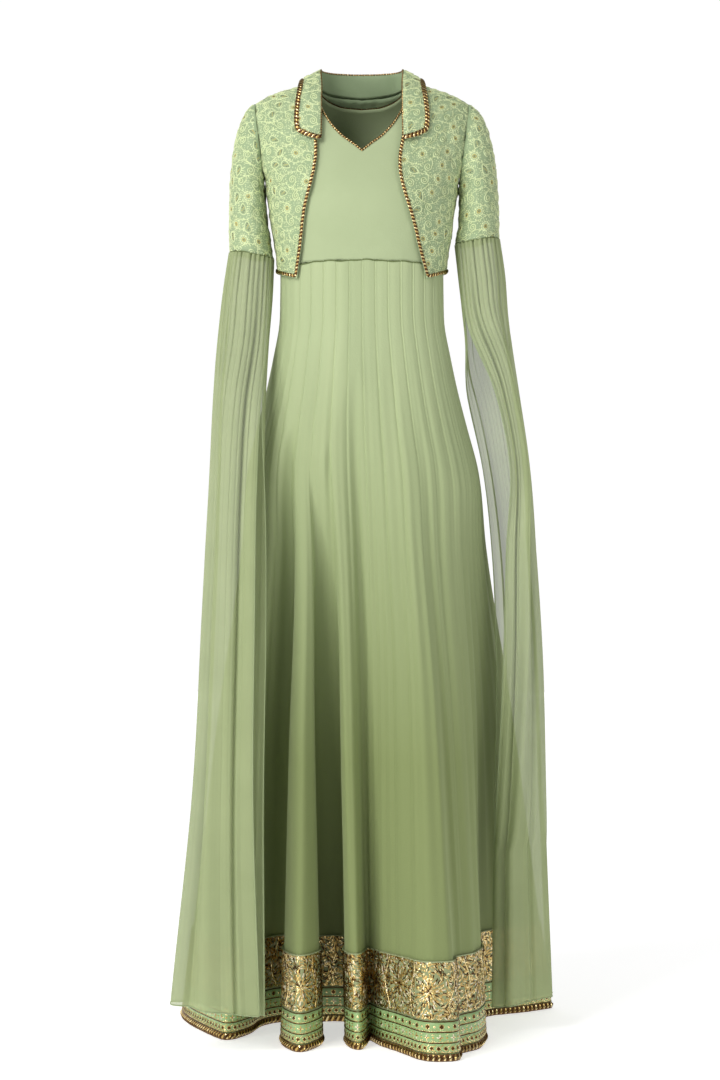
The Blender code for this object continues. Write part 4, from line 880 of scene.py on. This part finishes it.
def scrollwork(u_low, u_high, v_low, v_high, seed):
    """The jacket's all-over pattern on a flat area, drawn motif by motif on a loose staggered lattice."""
    draw = np.random.default_rng(seed)
    work = new_work()
    rows, columns = int((v_high - v_low) / MOTIF_UP) + 2, int((u_high - u_low) / MOTIF_ACROSS) + 2
    places = np.array([(u_low + (i + 0.5 * (j % 2)) * MOTIF_ACROSS, v_low + j * MOTIF_UP,
                        draw.choice(5, p=MOTIF_SHARES)) for j in range(rows) for i in range(columns)])
    places[:, :2] += draw.uniform(-0.0030, 0.0030, (len(places), 2))
    spin = draw.uniform(0, 2 * math.pi, len(places))
    room = MOTIF_ROOM[places[:, 2].astype(int)]

    def chosen(*kinds):
        pick = np.isin(places[:, 2], kinds)
        return places[pick, 0][:, None], places[pick, 1][:, None], spin[pick][:, None]

    # Round flowers: a ring, ten petals, an outer ring of knots, and gold seeds in the middle
    u, v, turned = chosen(0, 4)
    turn = np.linspace(0, 2 * math.pi, 15)[None]
    stitch_lines(work, np.stack(around(u, v, 0.0044, turn), axis=2), 0.0013, 0.0010, THREAD)
    petal = turned + 2 * math.pi * np.arange(10)[None] / 10
    beads(work, *around(u, v, 0.0070, petal), petal + math.pi / 2, 0.0036, 0.0022, 0.0010, THREAD)
    knot = turned + 2 * math.pi * (np.arange(16)[None] + 0.5) / 16
    dots(work, *around(u, v, 0.0098, knot), 0.0019, 0.0009, THREAD, 4)
    dots(work, *around(u, v, 0.0026, turned + math.pi * np.arange(6)[None] / 3), 0.0019, 0.0012, SEED)
    dots(work, u, v, 0.0019, 0.0012, DARK_SEED)

    # Scrolls: a spiral of nearly two turns that runs out into a hooked tail with knots on it
    u, v, turned = chosen(1, 3)
    t = np.linspace(0, 1, 24)[None]
    spiral = around(u, v, 0.0010 + 0.0058 * t, turned + SCROLL_CURL * t)
    stitch_lines(work, np.stack(spiral, axis=2), 0.0013, 0.0011, THREAD)
    tail_start = turned + SCROLL_CURL
    t = np.linspace(0, 1, 10)[None]
    tail = around(u, v, 0.0068 + 0.0075 * t, tail_start + 1.3 * t)
    stitch_lines(work, np.stack(tail, axis=2), 0.0012, 0.0010, THREAD)
    dots(work, *around(u, v, np.linspace(0.0092, 0.0158, 5)[None], tail_start + np.linspace(0.1, 1.2, 5)[None]),
         0.0016, 0.0007, THREAD, 4)

    # Leaves: a pointed outline filled with gold and dark seeds, with side stitches like a feather
    u, v, turned = chosen(2)
    turn = np.linspace(0, 2 * math.pi, 19)[None]
    wide, long = 0.0052 * np.sin(turn) * (1 + 0.45 * np.cos(turn)), -0.0088 * np.cos(turn)
    stitch_lines(work, np.stack(within(u, v, turned, long, wide), axis=2), 0.0014, 0.0011, THREAD)
    for number, (long, wide) in enumerate(((-0.005, 0), (-0.0025, 0.0018), (-0.0025, -0.0018), (0.0, 0.0),
                                           (0.0022, 0.0016), (0.0022, -0.0016), (0.0048, 0.0))):
        dots(work, *within(u, v, turned, long, wide), 0.0018, 0.0012, SEED if number % 2 else DARK_SEED)
    side = np.repeat([-1, 1], 4)[None]
    long = np.tile(np.linspace(-0.006, 0.005, 4), 2)[None]
    beads(work, *within(u, v, turned, long, 0.0078 * side), turned + math.pi / 2 * side + 0.4,
          0.0034, 0.0015, 0.0008, THREAD)

    # Vines: wavering stems between the rows, with small leaves either side
    stem_u = np.arange(u_low, u_high, 0.0025)
    for row in range(rows - 1):
        stem_v = v_low + (row + 0.5) * MOTIF_UP + 0.0042 * np.sin(stem_u * 2 * math.pi / 0.052 + 2.4 * row)
        stitch_lines(work, np.stack([stem_u, stem_v], axis=1), 0.0010, 0.0008, THREAD)
        side = np.resize([1, -1], len(stem_u[::3]))
        beads(work, stem_u[::3], stem_v[::3] + 0.0020 * side, side * 0.9, 0.0034, 0.0016, 0.0009, THREAD)

    # Knots over the rest, kept clear of the motifs
    knot_u, knot_v = scattered(draw, u_low, u_high, v_low, v_high, 0.0011)
    off = np.hypot(knot_u[:, None] - places[None, :, 0], knot_v[:, None] - places[None, :, 1]) - room[None]
    free = (off.min(axis=1) > 0.0008) & (draw.random(len(knot_u)) < 0.8)
    dots(work, knot_u[free], knot_v[free], 0.0020, 0.0009, THREAD, 4)
    return work


def embroider(name, grid, normal, seed, step=0.003, origin=0, even_up=False):
    """Works the pattern over a whole cloth panel and sews it on."""
    flat = flat_map(grid, normal, step, origin, even_up)
    low, high = flat["edges"][:, 0].min(), flat["edges"][:, 1].max()
    sew(name, "jacket_embroidered", scrollwork(low, high, 0.0, flat["levels"][-1], seed), flat, STITCHES)
    return flat


def puckered(grid, normal, size):
    """Cloth drawn up by dense stitching: shallow uneven hollows 15 to 30 mm across."""
    a, b = grid[..., 0] + 0.6 * grid[..., 1], grid[..., 2]
    hollows = (np.sin(a * 210 + 2.1 * np.sin(b * 90)) * np.sin(b * 180 + 1.7 * np.sin(a * 110))
               + 0.6 * np.sin(a * 330 - b * 150) * np.sin(b * 290 + a * 70))
    return grid + normal * (size * hollows)[..., None]


def jacket_foot(turn):
    return 1.179 + 0.016 * turn


def jacket_back_foot(turn):
    return 1.195 + 0 * turn


def laid_cord(name, node, flat, path, lift, *rope):
    """A bead cord laid on the cloth along a flat path, in the place of a solid."""
    point, normal, _ = on_cloth(flat, *np.transpose(path), lift)
    bead_rope(name, [node], point, normal, *rope)


jacket_flats = {}
for name, side in (("left", 1), ("right", -1)):
    grid = panel_grid(-1, np.linspace(0, 1, 37), FINE_ROWS, jacket_foot, JACKET_NECK_FRONT, JACKET_EASE,
                      (side, 2 if side > 0 else 1))
    normal = outwards(grid, towards=(0, -1, 0))
    grid = puckered(pressed(grid, normal, JACKET_CREASES), normal, 0.0008)
    piece = shell(f"jacket_front_{name}_cloth", grid, normal, CLOTH_THICK, [jacket_ground])
    belongs(piece, "jacket_embroidered", f"jacket_front_{name}")
    jacket_flats[side] = embroider(f"jacket_front_{name}_embroidery", grid, normal, 11 + side)
jacket_back_turns = both_sides(neck_turn(JACKET_NECK_HALF, JACKET_EASE), 18, 22)
grid = panel_grid(1, jacket_back_turns, FINE_ROWS, jacket_back_foot, JACKET_NECK_BACK, JACKET_EASE)
normal = outwards(grid, towards=(0, 1, 0))
grid = puckered(grid, normal, 0.0008)
piece = shell("jacket_back_cloth", grid, normal, CLOTH_THICK, [jacket_ground])
belongs(piece, "jacket_embroidered", "jacket_back")
jacket_flats[0] = embroider("jacket_back_embroidery", grid, normal, 5, origin=len(jacket_back_turns) // 2)

# The cord down each front edge is a rope of slanted gold and bronze bugles 5 mm wide. It turns the corner and
# goes on along the hem to the side seam. A cord 6 mm wide follows the back hem.
CORD_UP = 0.0036
for name, side in (("left", 1), ("right", -1)):
    flat = jacket_flats[side]
    hem_end = float(np.interp(0.004, flat["levels"], np.abs(flat["edges"]).max(axis=1))) - 0.001
    path = [(0.0027, v) for v in np.linspace(0.70 * flat["levels"][-1], 0.009, 60)]
    path += [(0.0030, 0.0060), (0.0036, 0.0042)]
    path += [(u, CORD_UP) for u in np.linspace(0.004, hem_end, 40)[1:]]
    laid_cord(f"jacket_front_{name}_cord", f"cord_front_{name}", flat, path, 0.0006, 0.0052, 0.0029, side * 56,
              0.0028)
flat = jacket_flats[0]
path = [(u, CORD_UP) for u in np.linspace(flat["edges"][0, 0] + 0.001, flat["edges"][0, 1] - 0.001, 120)]
laid_cord("jacket_back_hem_cord", "cord_hem_back", flat, path, 0.0006, 0.0064, 0.0030, 56, 0.0028)

# Collar. A fold-over collar of the jacket's cloth: it stands at the neck, rolls over, and falls to a broad leaf
# with a squared, softly rounded lower corner on each front. It is edged with a wider bead cord.
COLLAR_FRONT = [  # height and distance of the roll line, height and distance of the outer edge
    (1.3920, 0.0640, 1.4020, 0.0960), (1.4010, 0.0635, 1.4110, 0.1030), (1.4280, 0.0630, 1.4320, 0.1045),
    (1.4530, 0.0630, 1.4600, 0.1020), (1.4700, 0.0630, 1.4730, 0.1000), (1.4840, 0.0630, 1.4830, 0.0985),
]
COLLAR_CREST = 1.512
COLLAR_BACK_FOOT = 1.458
COLLAR_LIFT = 0.0052
COLLAR_CORD_WIDE = 0.009


def shoulder_height(x):
    """The height of the shoulder seam at a distance from the middle."""
    return smooth_table(SHOULDER, 1, np.abs(x))


def on_jacket(face, x, height, lift):
    """A point over the jacket, lifted along the form's own slope."""
    top = float(shoulder_height(x)) + JACKET_EASE
    height = min(height, top)
    half = float(smooth_table(BODICE_RINGS, 1, height)) + JACKET_EASE
    below = min(max((top - height) / SHOULDER_ROUND, 0), 1)
    away = np.array([0, face * math.sqrt(1 - (1 - below) ** 2), 1 - below])
    return form_point(face, x / half, np.array(height), JACKET_EASE) + lift * away


def collar_sections():
    """Rows of the collar from one front end round the neck to the other: stand, roll, fall."""
    front = []
    for roll_height, roll, edge_height, edge in COLLAR_FRONT:
        places = [(0.0750, roll_height, 0.0020), (0.0690, roll_height, 0.0020), (roll, roll_height, 0.0034),
                  (0.0690, roll_height, 0.0062), ((0.0690 + edge) / 2, (roll_height + edge_height) / 2, 0.0062),
                  (edge - COLLAR_CORD_WIDE, edge_height - 0.001, COLLAR_LIFT),
                  (edge, edge_height, COLLAR_LIFT - 0.0005)]
        front.append([on_jacket(-1, *at) for at in places])
    front = np.array(front)
    edge = panel_grid(1, both_sides(neck_turn(JACKET_NECK_HALF, JACKET_EASE), 3, 4), [0, 1],
                      jacket_back_foot, JACKET_NECK_BACK, JACKET_EASE - 0.0006)[-1]
    back = []
    for step in range(13):
        angle = math.pi * step / 12
        out, behind = math.cos(angle), math.sin(angle)
        seam_x = 0.0755 * out
        seam = np.array([seam_x, *(np.interp(seam_x, edge[:, 0], edge[:, axis]) for axis in (1, 2))])
        seam += np.array([0, -0.0004, 0.0021])
        crest = place(0.0650 * out, 0.042 * behind, COLLAR_CREST)
        over = crest + np.array([0.0050 * out, 0.0050 * behind, -0.0010])
        fall_x = 0.0965 * out
        tip = float(shoulder_height(fall_x))
        fall = on_jacket(1, fall_x, tip - (tip - COLLAR_BACK_FOOT) * behind + JACKET_EASE, COLLAR_LIFT - 0.0005)
        bulge = np.array([0.0045 * out, 0.0045 * behind, 0.0010])
        back.append([seam, (seam + crest) / 2, crest, over, over * 0.5 + fall * 0.5 + bulge,
                     over * 0.22 + fall * 0.78 + bulge * 0.5, fall])
    return np.concatenate([front, np.array(back), (front * np.array([-1, 1, 1]))[::-1]])


def refined(grid, rows, columns):
    """A smooth finer grid through a coarse one."""
    for axis, count in ((0, rows), (1, columns)):
        lines = np.moveaxis(grid, axis, 0)
        at = np.linspace(0, len(lines) - 1, count)
        flat_lines = lines.reshape(len(lines), -1)
        out = np.stack([smooth_table(np.stack([np.arange(len(lines)), column], axis=1), 1, at)
                        for column in flat_lines.T], axis=1)
        grid = np.moveaxis(out.reshape((count,) + lines.shape[1:]), 0, axis)
    return grid


collar_grid = refined(collar_sections(), 145, 31)
collar_normal = normals_of(collar_grid)
if collar_normal[72, -3, 1] < 0:
    collar_normal = -collar_normal
piece = shell("collar_cloth", collar_grid + collar_normal * 0.0006, collar_normal, 0.0012, [jacket_ground])
belongs(piece, "jacket_embroidered", "jacket_collar")
fall_grid, fall_normal = collar_grid[:, 10:], collar_normal[:, 10:]
flat = embroider("collar_embroidery", fall_grid + fall_normal * 0.0006, fall_normal, 21, 0.002, even_up=True)

# The collar's cord runs along its outer edge and across both rounded lower ends; a fine one marks the roll.
foot = flat["levels"][-1]
side_v = np.linspace(0.010, foot - 0.010, 240)
side_u = np.interp(side_v, flat["levels"], flat["edges"][:, 1]) - 0.0042
end_u = np.linspace(0.003, side_u[0] - 0.006, 16)
path = [(u, 0.0042) for u in end_u] + [(side_u[0] - 0.0022, 0.0060)] + list(zip(side_u, side_v))
path += [(side_u[-1] - 0.0022, foot - 0.0060)] + [(u, foot - 0.0042) for u in end_u[::-1]]
laid_cord("collar_edge_cord", "cord_collar", flat, path, 0.0004, 0.0080, 0.0032, 58, 0.0030)
ROLL_COLUMN = 11
roll_line, roll_normal = collar_grid[2:-2, ROLL_COLUMN], collar_normal[2:-2, ROLL_COLUMN]
bead_rope("collar_roll_cord", [], roll_line + roll_normal * 0.0008, roll_normal, 0.0022, 0.0022, 58, 0.0014)

# Upper sleeves. Fitted sleeves of the jacket's embroidered cloth, set into the armholes and ending in a seam at
# the elbow. Each runs from the armhole through a fuller ring to the elbow.
UPPER_SLEEVES = {  # side: two tilted rings, each outer x and height, inner x and height, middle y, half depth
    -1: {"elbow": ((0.2070, 1.2266), (0.1390, 1.2160), -0.005, 0.045),
         "full": ((0.2130, 1.4400), (0.1500, 1.2740), 0.000, 0.060)},
    1: {"elbow": ((0.2150, 1.2480), (0.1470, 1.2390), 0.000, 0.045),
        "full": ((0.2150, 1.4400), (0.1550, 1.2800), 0.000, 0.060)},
}
SLEEVE_CREASES = [  # from depth y, height to y, height, width, depth, for each sleeve: pulls at the inner elbow
    (-0.050, 1.330, 0.000, 1.300, 0.008, -0.0016), (-0.048, 1.290, 0.005, 1.262, 0.007, -0.0014),
    (-0.045, 1.262, 0.010, 1.250, 0.006, 0.0012), (-0.030, 1.400, 0.020, 1.380, 0.010, -0.0010),
]


def armhole_ring(side, angles):
    """The jacket's armhole, from the shoulder tip down the front to the underarm and up the back."""
    share = float(edge_share(1.46))
    tip = 1.455
    for _ in range(40):
        tip = float(shoulder_height((smooth_table(BODICE_RINGS, 1, tip) + JACKET_EASE) * share)) + JACKET_EASE
    height = (tip + UNDERARM) / 2 + (tip - UNDERARM) / 2 * np.cos(angles)
    share = edge_share(height)
    ring = np.where((np.sin(angles) >= 0)[:, None], form_point(-1, share, height, JACKET_EASE),
                    form_point(1, share, height, JACKET_EASE))
    return ring * np.array([side, 1, 1])


def tilted_ring(side, outer, inner, y, depth, angles):
    """A ring round the arm that leans from its outer end to its inner end."""
    x = (outer[0] + inner[0]) / 2 + (outer[0] - inner[0]) / 2 * np.cos(angles)
    height = (outer[1] + inner[1]) / 2 + (outer[1] - inner[1]) / 2 * np.cos(angles)
    return place(side * x, y - depth * np.sin(angles), height)


elbow_lines = {}
for name, side in (("left", 1), ("right", -1)):
    angles = math.pi + np.linspace(0, 2 * math.pi, 97)
    start = armhole_ring(side, angles)
    start[:, 0] += side * 0.0006
    full, elbow = (tilted_ring(side, *UPPER_SLEEVES[side][ring], angles) for ring in ("full", "elbow"))
    grid = np.stack([(1 - t)**2 * start + 2 * t * (1 - t) * full + t * t * elbow for t in np.linspace(1, 0, 49)])
    grid[:, -1] = grid[:, 0]
    normal = outwards(grid[:, :-1], closed=True)
    normal = np.concatenate([normal, normal[:, :1]], axis=1)
    for crease in SLEEVE_CREASES:
        near_body = side * grid[..., :1] < 0.185
        grid = pressed(grid, normal * near_body, [crease], axis=1)
    grid = puckered(grid, normal, 0.0008)
    grid[:, -1] = grid[:, 0]
    piece = shell(f"sleeve_upper_{name}_cloth", grid[:, :-1], normal[:, :-1], CLOTH_THICK, [jacket_ground],
                  closed=True)
    belongs(piece, "jacket_embroidered", f"sleeve_upper_{name}")
    embroider(f"sleeve_upper_{name}_embroidery", grid, normal, 31 + side, origin=48)
    elbow_lines[side] = (grid[0, :-1], normal[0, :-1])

# Lower sleeves. Very long sleeves of one layer of sheer georgette each, gathered into the elbow seam and slit
# down the inner front. The left one hangs open with its back edge showing, the right one nearly closed. Their
# edges are roll-hemmed.
SLEEVE_ROWS = {  # height, outer edge, inner edge, front free edge, middle in Y, half depth, how far it is open
    -1: [(1.22, 0.207, 0.139, 0.1435, -0.005, 0.045, 0.0), (1.17, 0.214, 0.14, 0.145, -0.012, 0.046, 0.0),
         (1.08, 0.222, 0.145, 0.15, -0.036, 0.044, 0.0), (0.99, 0.2255, 0.148, 0.158, -0.074, 0.04, 0.1),
         (0.85, 0.229, 0.148, 0.164, -0.104, 0.037, 0.4), (0.65, 0.237, 0.149, 0.167, -0.128, 0.034, 0.5),
         (0.38, 0.2515, 0.153, 0.169, -0.146, 0.032, 0.5), (0.068, 0.289, 0.153, 0.16, -0.152, 0.03, 0.5)],
    1: [(1.242, 0.215, 0.147, 0.1515, 0.0, 0.045, 0.0), (1.19, 0.223, 0.152, 0.1565, 0.002, 0.046, 0.0),
        (1.115, 0.229, 0.16, 0.167, 0.004, 0.045, 0.2), (1.007, 0.245, 0.169, 0.207, 0.006, 0.043, 1.0),
        (0.898, 0.261, 0.193, 0.23, 0.004, 0.037, 1.0), (0.76, 0.271, 0.209, 0.227, 0.004, 0.035, 1.0),
        (0.6, 0.28, 0.215, 0.224, 0.006, 0.033, 1.0), (0.36, 0.288, 0.212, 0.214, 0.03, 0.033, 1.0),
        (0.047, 0.301, 0.208, 0.2, 0.038, 0.03, 1.0)],
}
GATHERS = 28
HEM_ROLL = 0.0011
LONG_FOLDS = [(0.085, 0.011, -0.0090), (0.30, 0.012, -0.0045), (0.62, 0.013, -0.0060)]  # place, width, depth

# Sheer georgette, one open-woven layer: matt, lets about a quarter of the light straight through.
sheer_georgette = woven_cloth("sheer_georgette", "#A9B485", "#9BA778", 0.85, 0.25, 2.5, 0.0003)
sheer_georgette.node_tree.nodes["Principled BSDF"].inputs["Alpha"].default_value = 0.74
rolled_hem = woven_cloth("rolled_georgette_hem", "#9BA87D", "#8E9C71", 0.8, 0.2, 2.5, 0.0003)


def sleeve_point(side, share, across):
    """A point of a lower sleeve: share runs from the elbow seam to the foot, across from the slit's front edge
    round the outside to its back edge."""
    table = SLEEVE_ROWS[side]
    level = table[0][0] + (table[-1][0] - table[0][0]) * share
    outer, inner, edge, middle, depth, slit = (smooth_table(table, column, level) for column in range(1, 7))
    centre, half = (outer + inner) / 2, (outer - inner) / 2
    first = np.arccos(np.clip((edge - centre) / half, -1, 1))
    last = first - 2 * math.pi + 0.010
    last = last + slit * (-math.pi + 0.10 - last)
    angle = first + (last - first) * across
    pleat = GATHERS * across
    uneven = 0.65 + 0.35 * np.sin(np.floor(pleat) * 2.4 + side)
    valley = np.exp(-(((pleat % 1.0) - 0.5) / 0.13) ** 2)
    long_fold = sum(fold * np.exp(-((across - at - 0.012 * share) / width) ** 2) * np.clip(share * 6, 0, 1)
                    for at, width, fold in LONG_FOLDS)
    fine = 0.0006 * np.exp(-share * 14) * np.cos(2 * math.pi * 2 * pleat)
    gather = (0.0014 - 0.0064 * uneven * valley) * (0.05 + 0.95 * np.exp(-share * 5.0)) + long_fold
    soft = 0.0048 * np.minimum(share * 2.5, 1) * np.cos(2 * math.pi * 5 * across)
    soft = soft + 0.0030 * np.minimum(share * 2, 1) * np.cos(2 * math.pi * 8 * across + 2.2 * share + 1.1 * side)
    reach = fine + gather + soft
    x = centre + (half + reach) * np.cos(angle)
    y = middle - (depth + reach) * np.sin(angle)
    high, low = (end[1] for end in UPPER_SLEEVES[side]["elbow"][:2])
    tilt = (high - low) / 2 * np.cos(angle) * (1 - share)
    lift = (high + low) / 2 - table[0][0]
    return place(side * x, y, level + tilt + (lift - 0.0004) * (1 - share) + 0.010 * share * np.cos(angle))


for name, side in (("left", 1), ("right", -1)):
    shares = np.concatenate([np.linspace(0, 0.2, 30), np.linspace(0.2, 1, 60)[1:]])[::-1]
    grid = sleeve_point(side, shares[:, None], np.linspace(0, 1, GATHERS * 14 + 1)[None, :])
    normal = outwards(grid)
    piece = one_sheet(f"sleeve_lower_{name}_cloth", grid, normal, [sheer_georgette])
    belongs(piece, "sleeve_sheer_georgette", f"sleeve_lower_{name}")
    rim, rim_normal = (np.concatenate([part[::-1, 0], part[0, 1:], part[1:, -1]]) for part in (grid, normal))
    along = unit(np.gradient(rim, axis=0))
    aside = unit(np.cross(rim_normal, along))
    turns = np.linspace(0, 2 * math.pi, 6)[:-1]
    tube = np.stack([rim + HEM_ROLL * (np.cos(t) * aside + 0.6 * np.sin(t) * rim_normal) for t in turns], axis=1)
    tube_normal = np.stack([np.cos(t) * aside + np.sin(t) * rim_normal for t in turns], axis=1)
    hem = one_sheet(f"sleeve_lower_{name}_hem", tube, tube_normal, [rolled_hem], closed=True)
    belongs(hem, "sleeve_sheer_georgette")
    seam_ridge(f"elbow_seam_{name}", *elbow_lines[side], "jacket_embroidered")

# Studio. A pale floor and a lit white backdrop, a soft box from high on the front left aimed at the jacket, a
# weaker one from the right, and a low strip on the left for the skirt. The light falls off towards the hem as in
# the photo.
REACH = 9
FLOOR = -GOWN_LENGTH - 0.0005
for name, finish, colour, glow, corners in (
        ("floor", "white_floor_paint", "#F2F2F2", 0.55, [(-1, -1, 0), (1, -1, 0), (1, 1, 0), (-1, 1, 0)]),
        ("backdrop", "lit_backdrop_paper", "#101010", 1.0, [(-1, 1, 0), (1, 1, 0), (1, 1, 1), (-1, 1, 1)])):
    paint, _ = surface(finish, base_color=to_linear(colour), roughness=0.9, emission_color=(1, 1, 1, 1),
                       emission_strength=glow)
    points = [(x * REACH, y * REACH, REACH if up else FLOOR) for x, y, up in corners]
    mesh_piece(name, points, [(0, 1, 2, 3)], [paint])

world = bpy.data.worlds.new("white studio")
bpy.context.scene.world = world
world.use_nodes = True
sky = world.node_tree.nodes["Background"]
sky.inputs["Color"].default_value = (1, 1, 1, 1)
sky.inputs["Strength"].default_value = 0.35


def soft_light(name, place_at, aim, size, power):
    """A soft box that stands at a place and shines towards an aim."""
    data = bpy.data.lights.new(name, "AREA")
    data.shape = "RECTANGLE"
    data.size, data.size_y = size
    data.energy = power
    data.spread = math.radians(100)
    light = bpy.data.objects.new(name, data)
    bpy.context.collection.objects.link(light)
    light.location = place_at
    way = np.array(aim) - np.array(place_at)
    light.rotation_euler = (math.atan2(math.hypot(way[0], way[1]), -way[2]), 0, math.atan2(-way[0], way[1]))


soft_light("key", (-1.7, -2.6, 1.5), (0, 0, -0.10), (1.5, 1.5), 26)
soft_light("fill", (3.0, -3.0, 0.8), (0, 0, -0.25), (1.6, 1.6), 8)
soft_light("low_strip", (-2.8, -2.2, -0.5), (0, 0, -1.1), (0.6, 1.6), 9)

camera_data = bpy.data.cameras.new("camera")
camera_data.lens = 84.9
camera_data.sensor_width = 36
camera_data.clip_end = 100
camera = bpy.data.objects.new("camera", camera_data)
bpy.context.collection.objects.link(camera)
camera.location = (-0.003, -4.0, 0.776 - GOWN_LENGTH)
camera.rotation_euler = (math.radians(90), 0, 0)
bpy.context.scene.camera = camera
bpy.context.scene.view_settings.view_transform = "Standard"
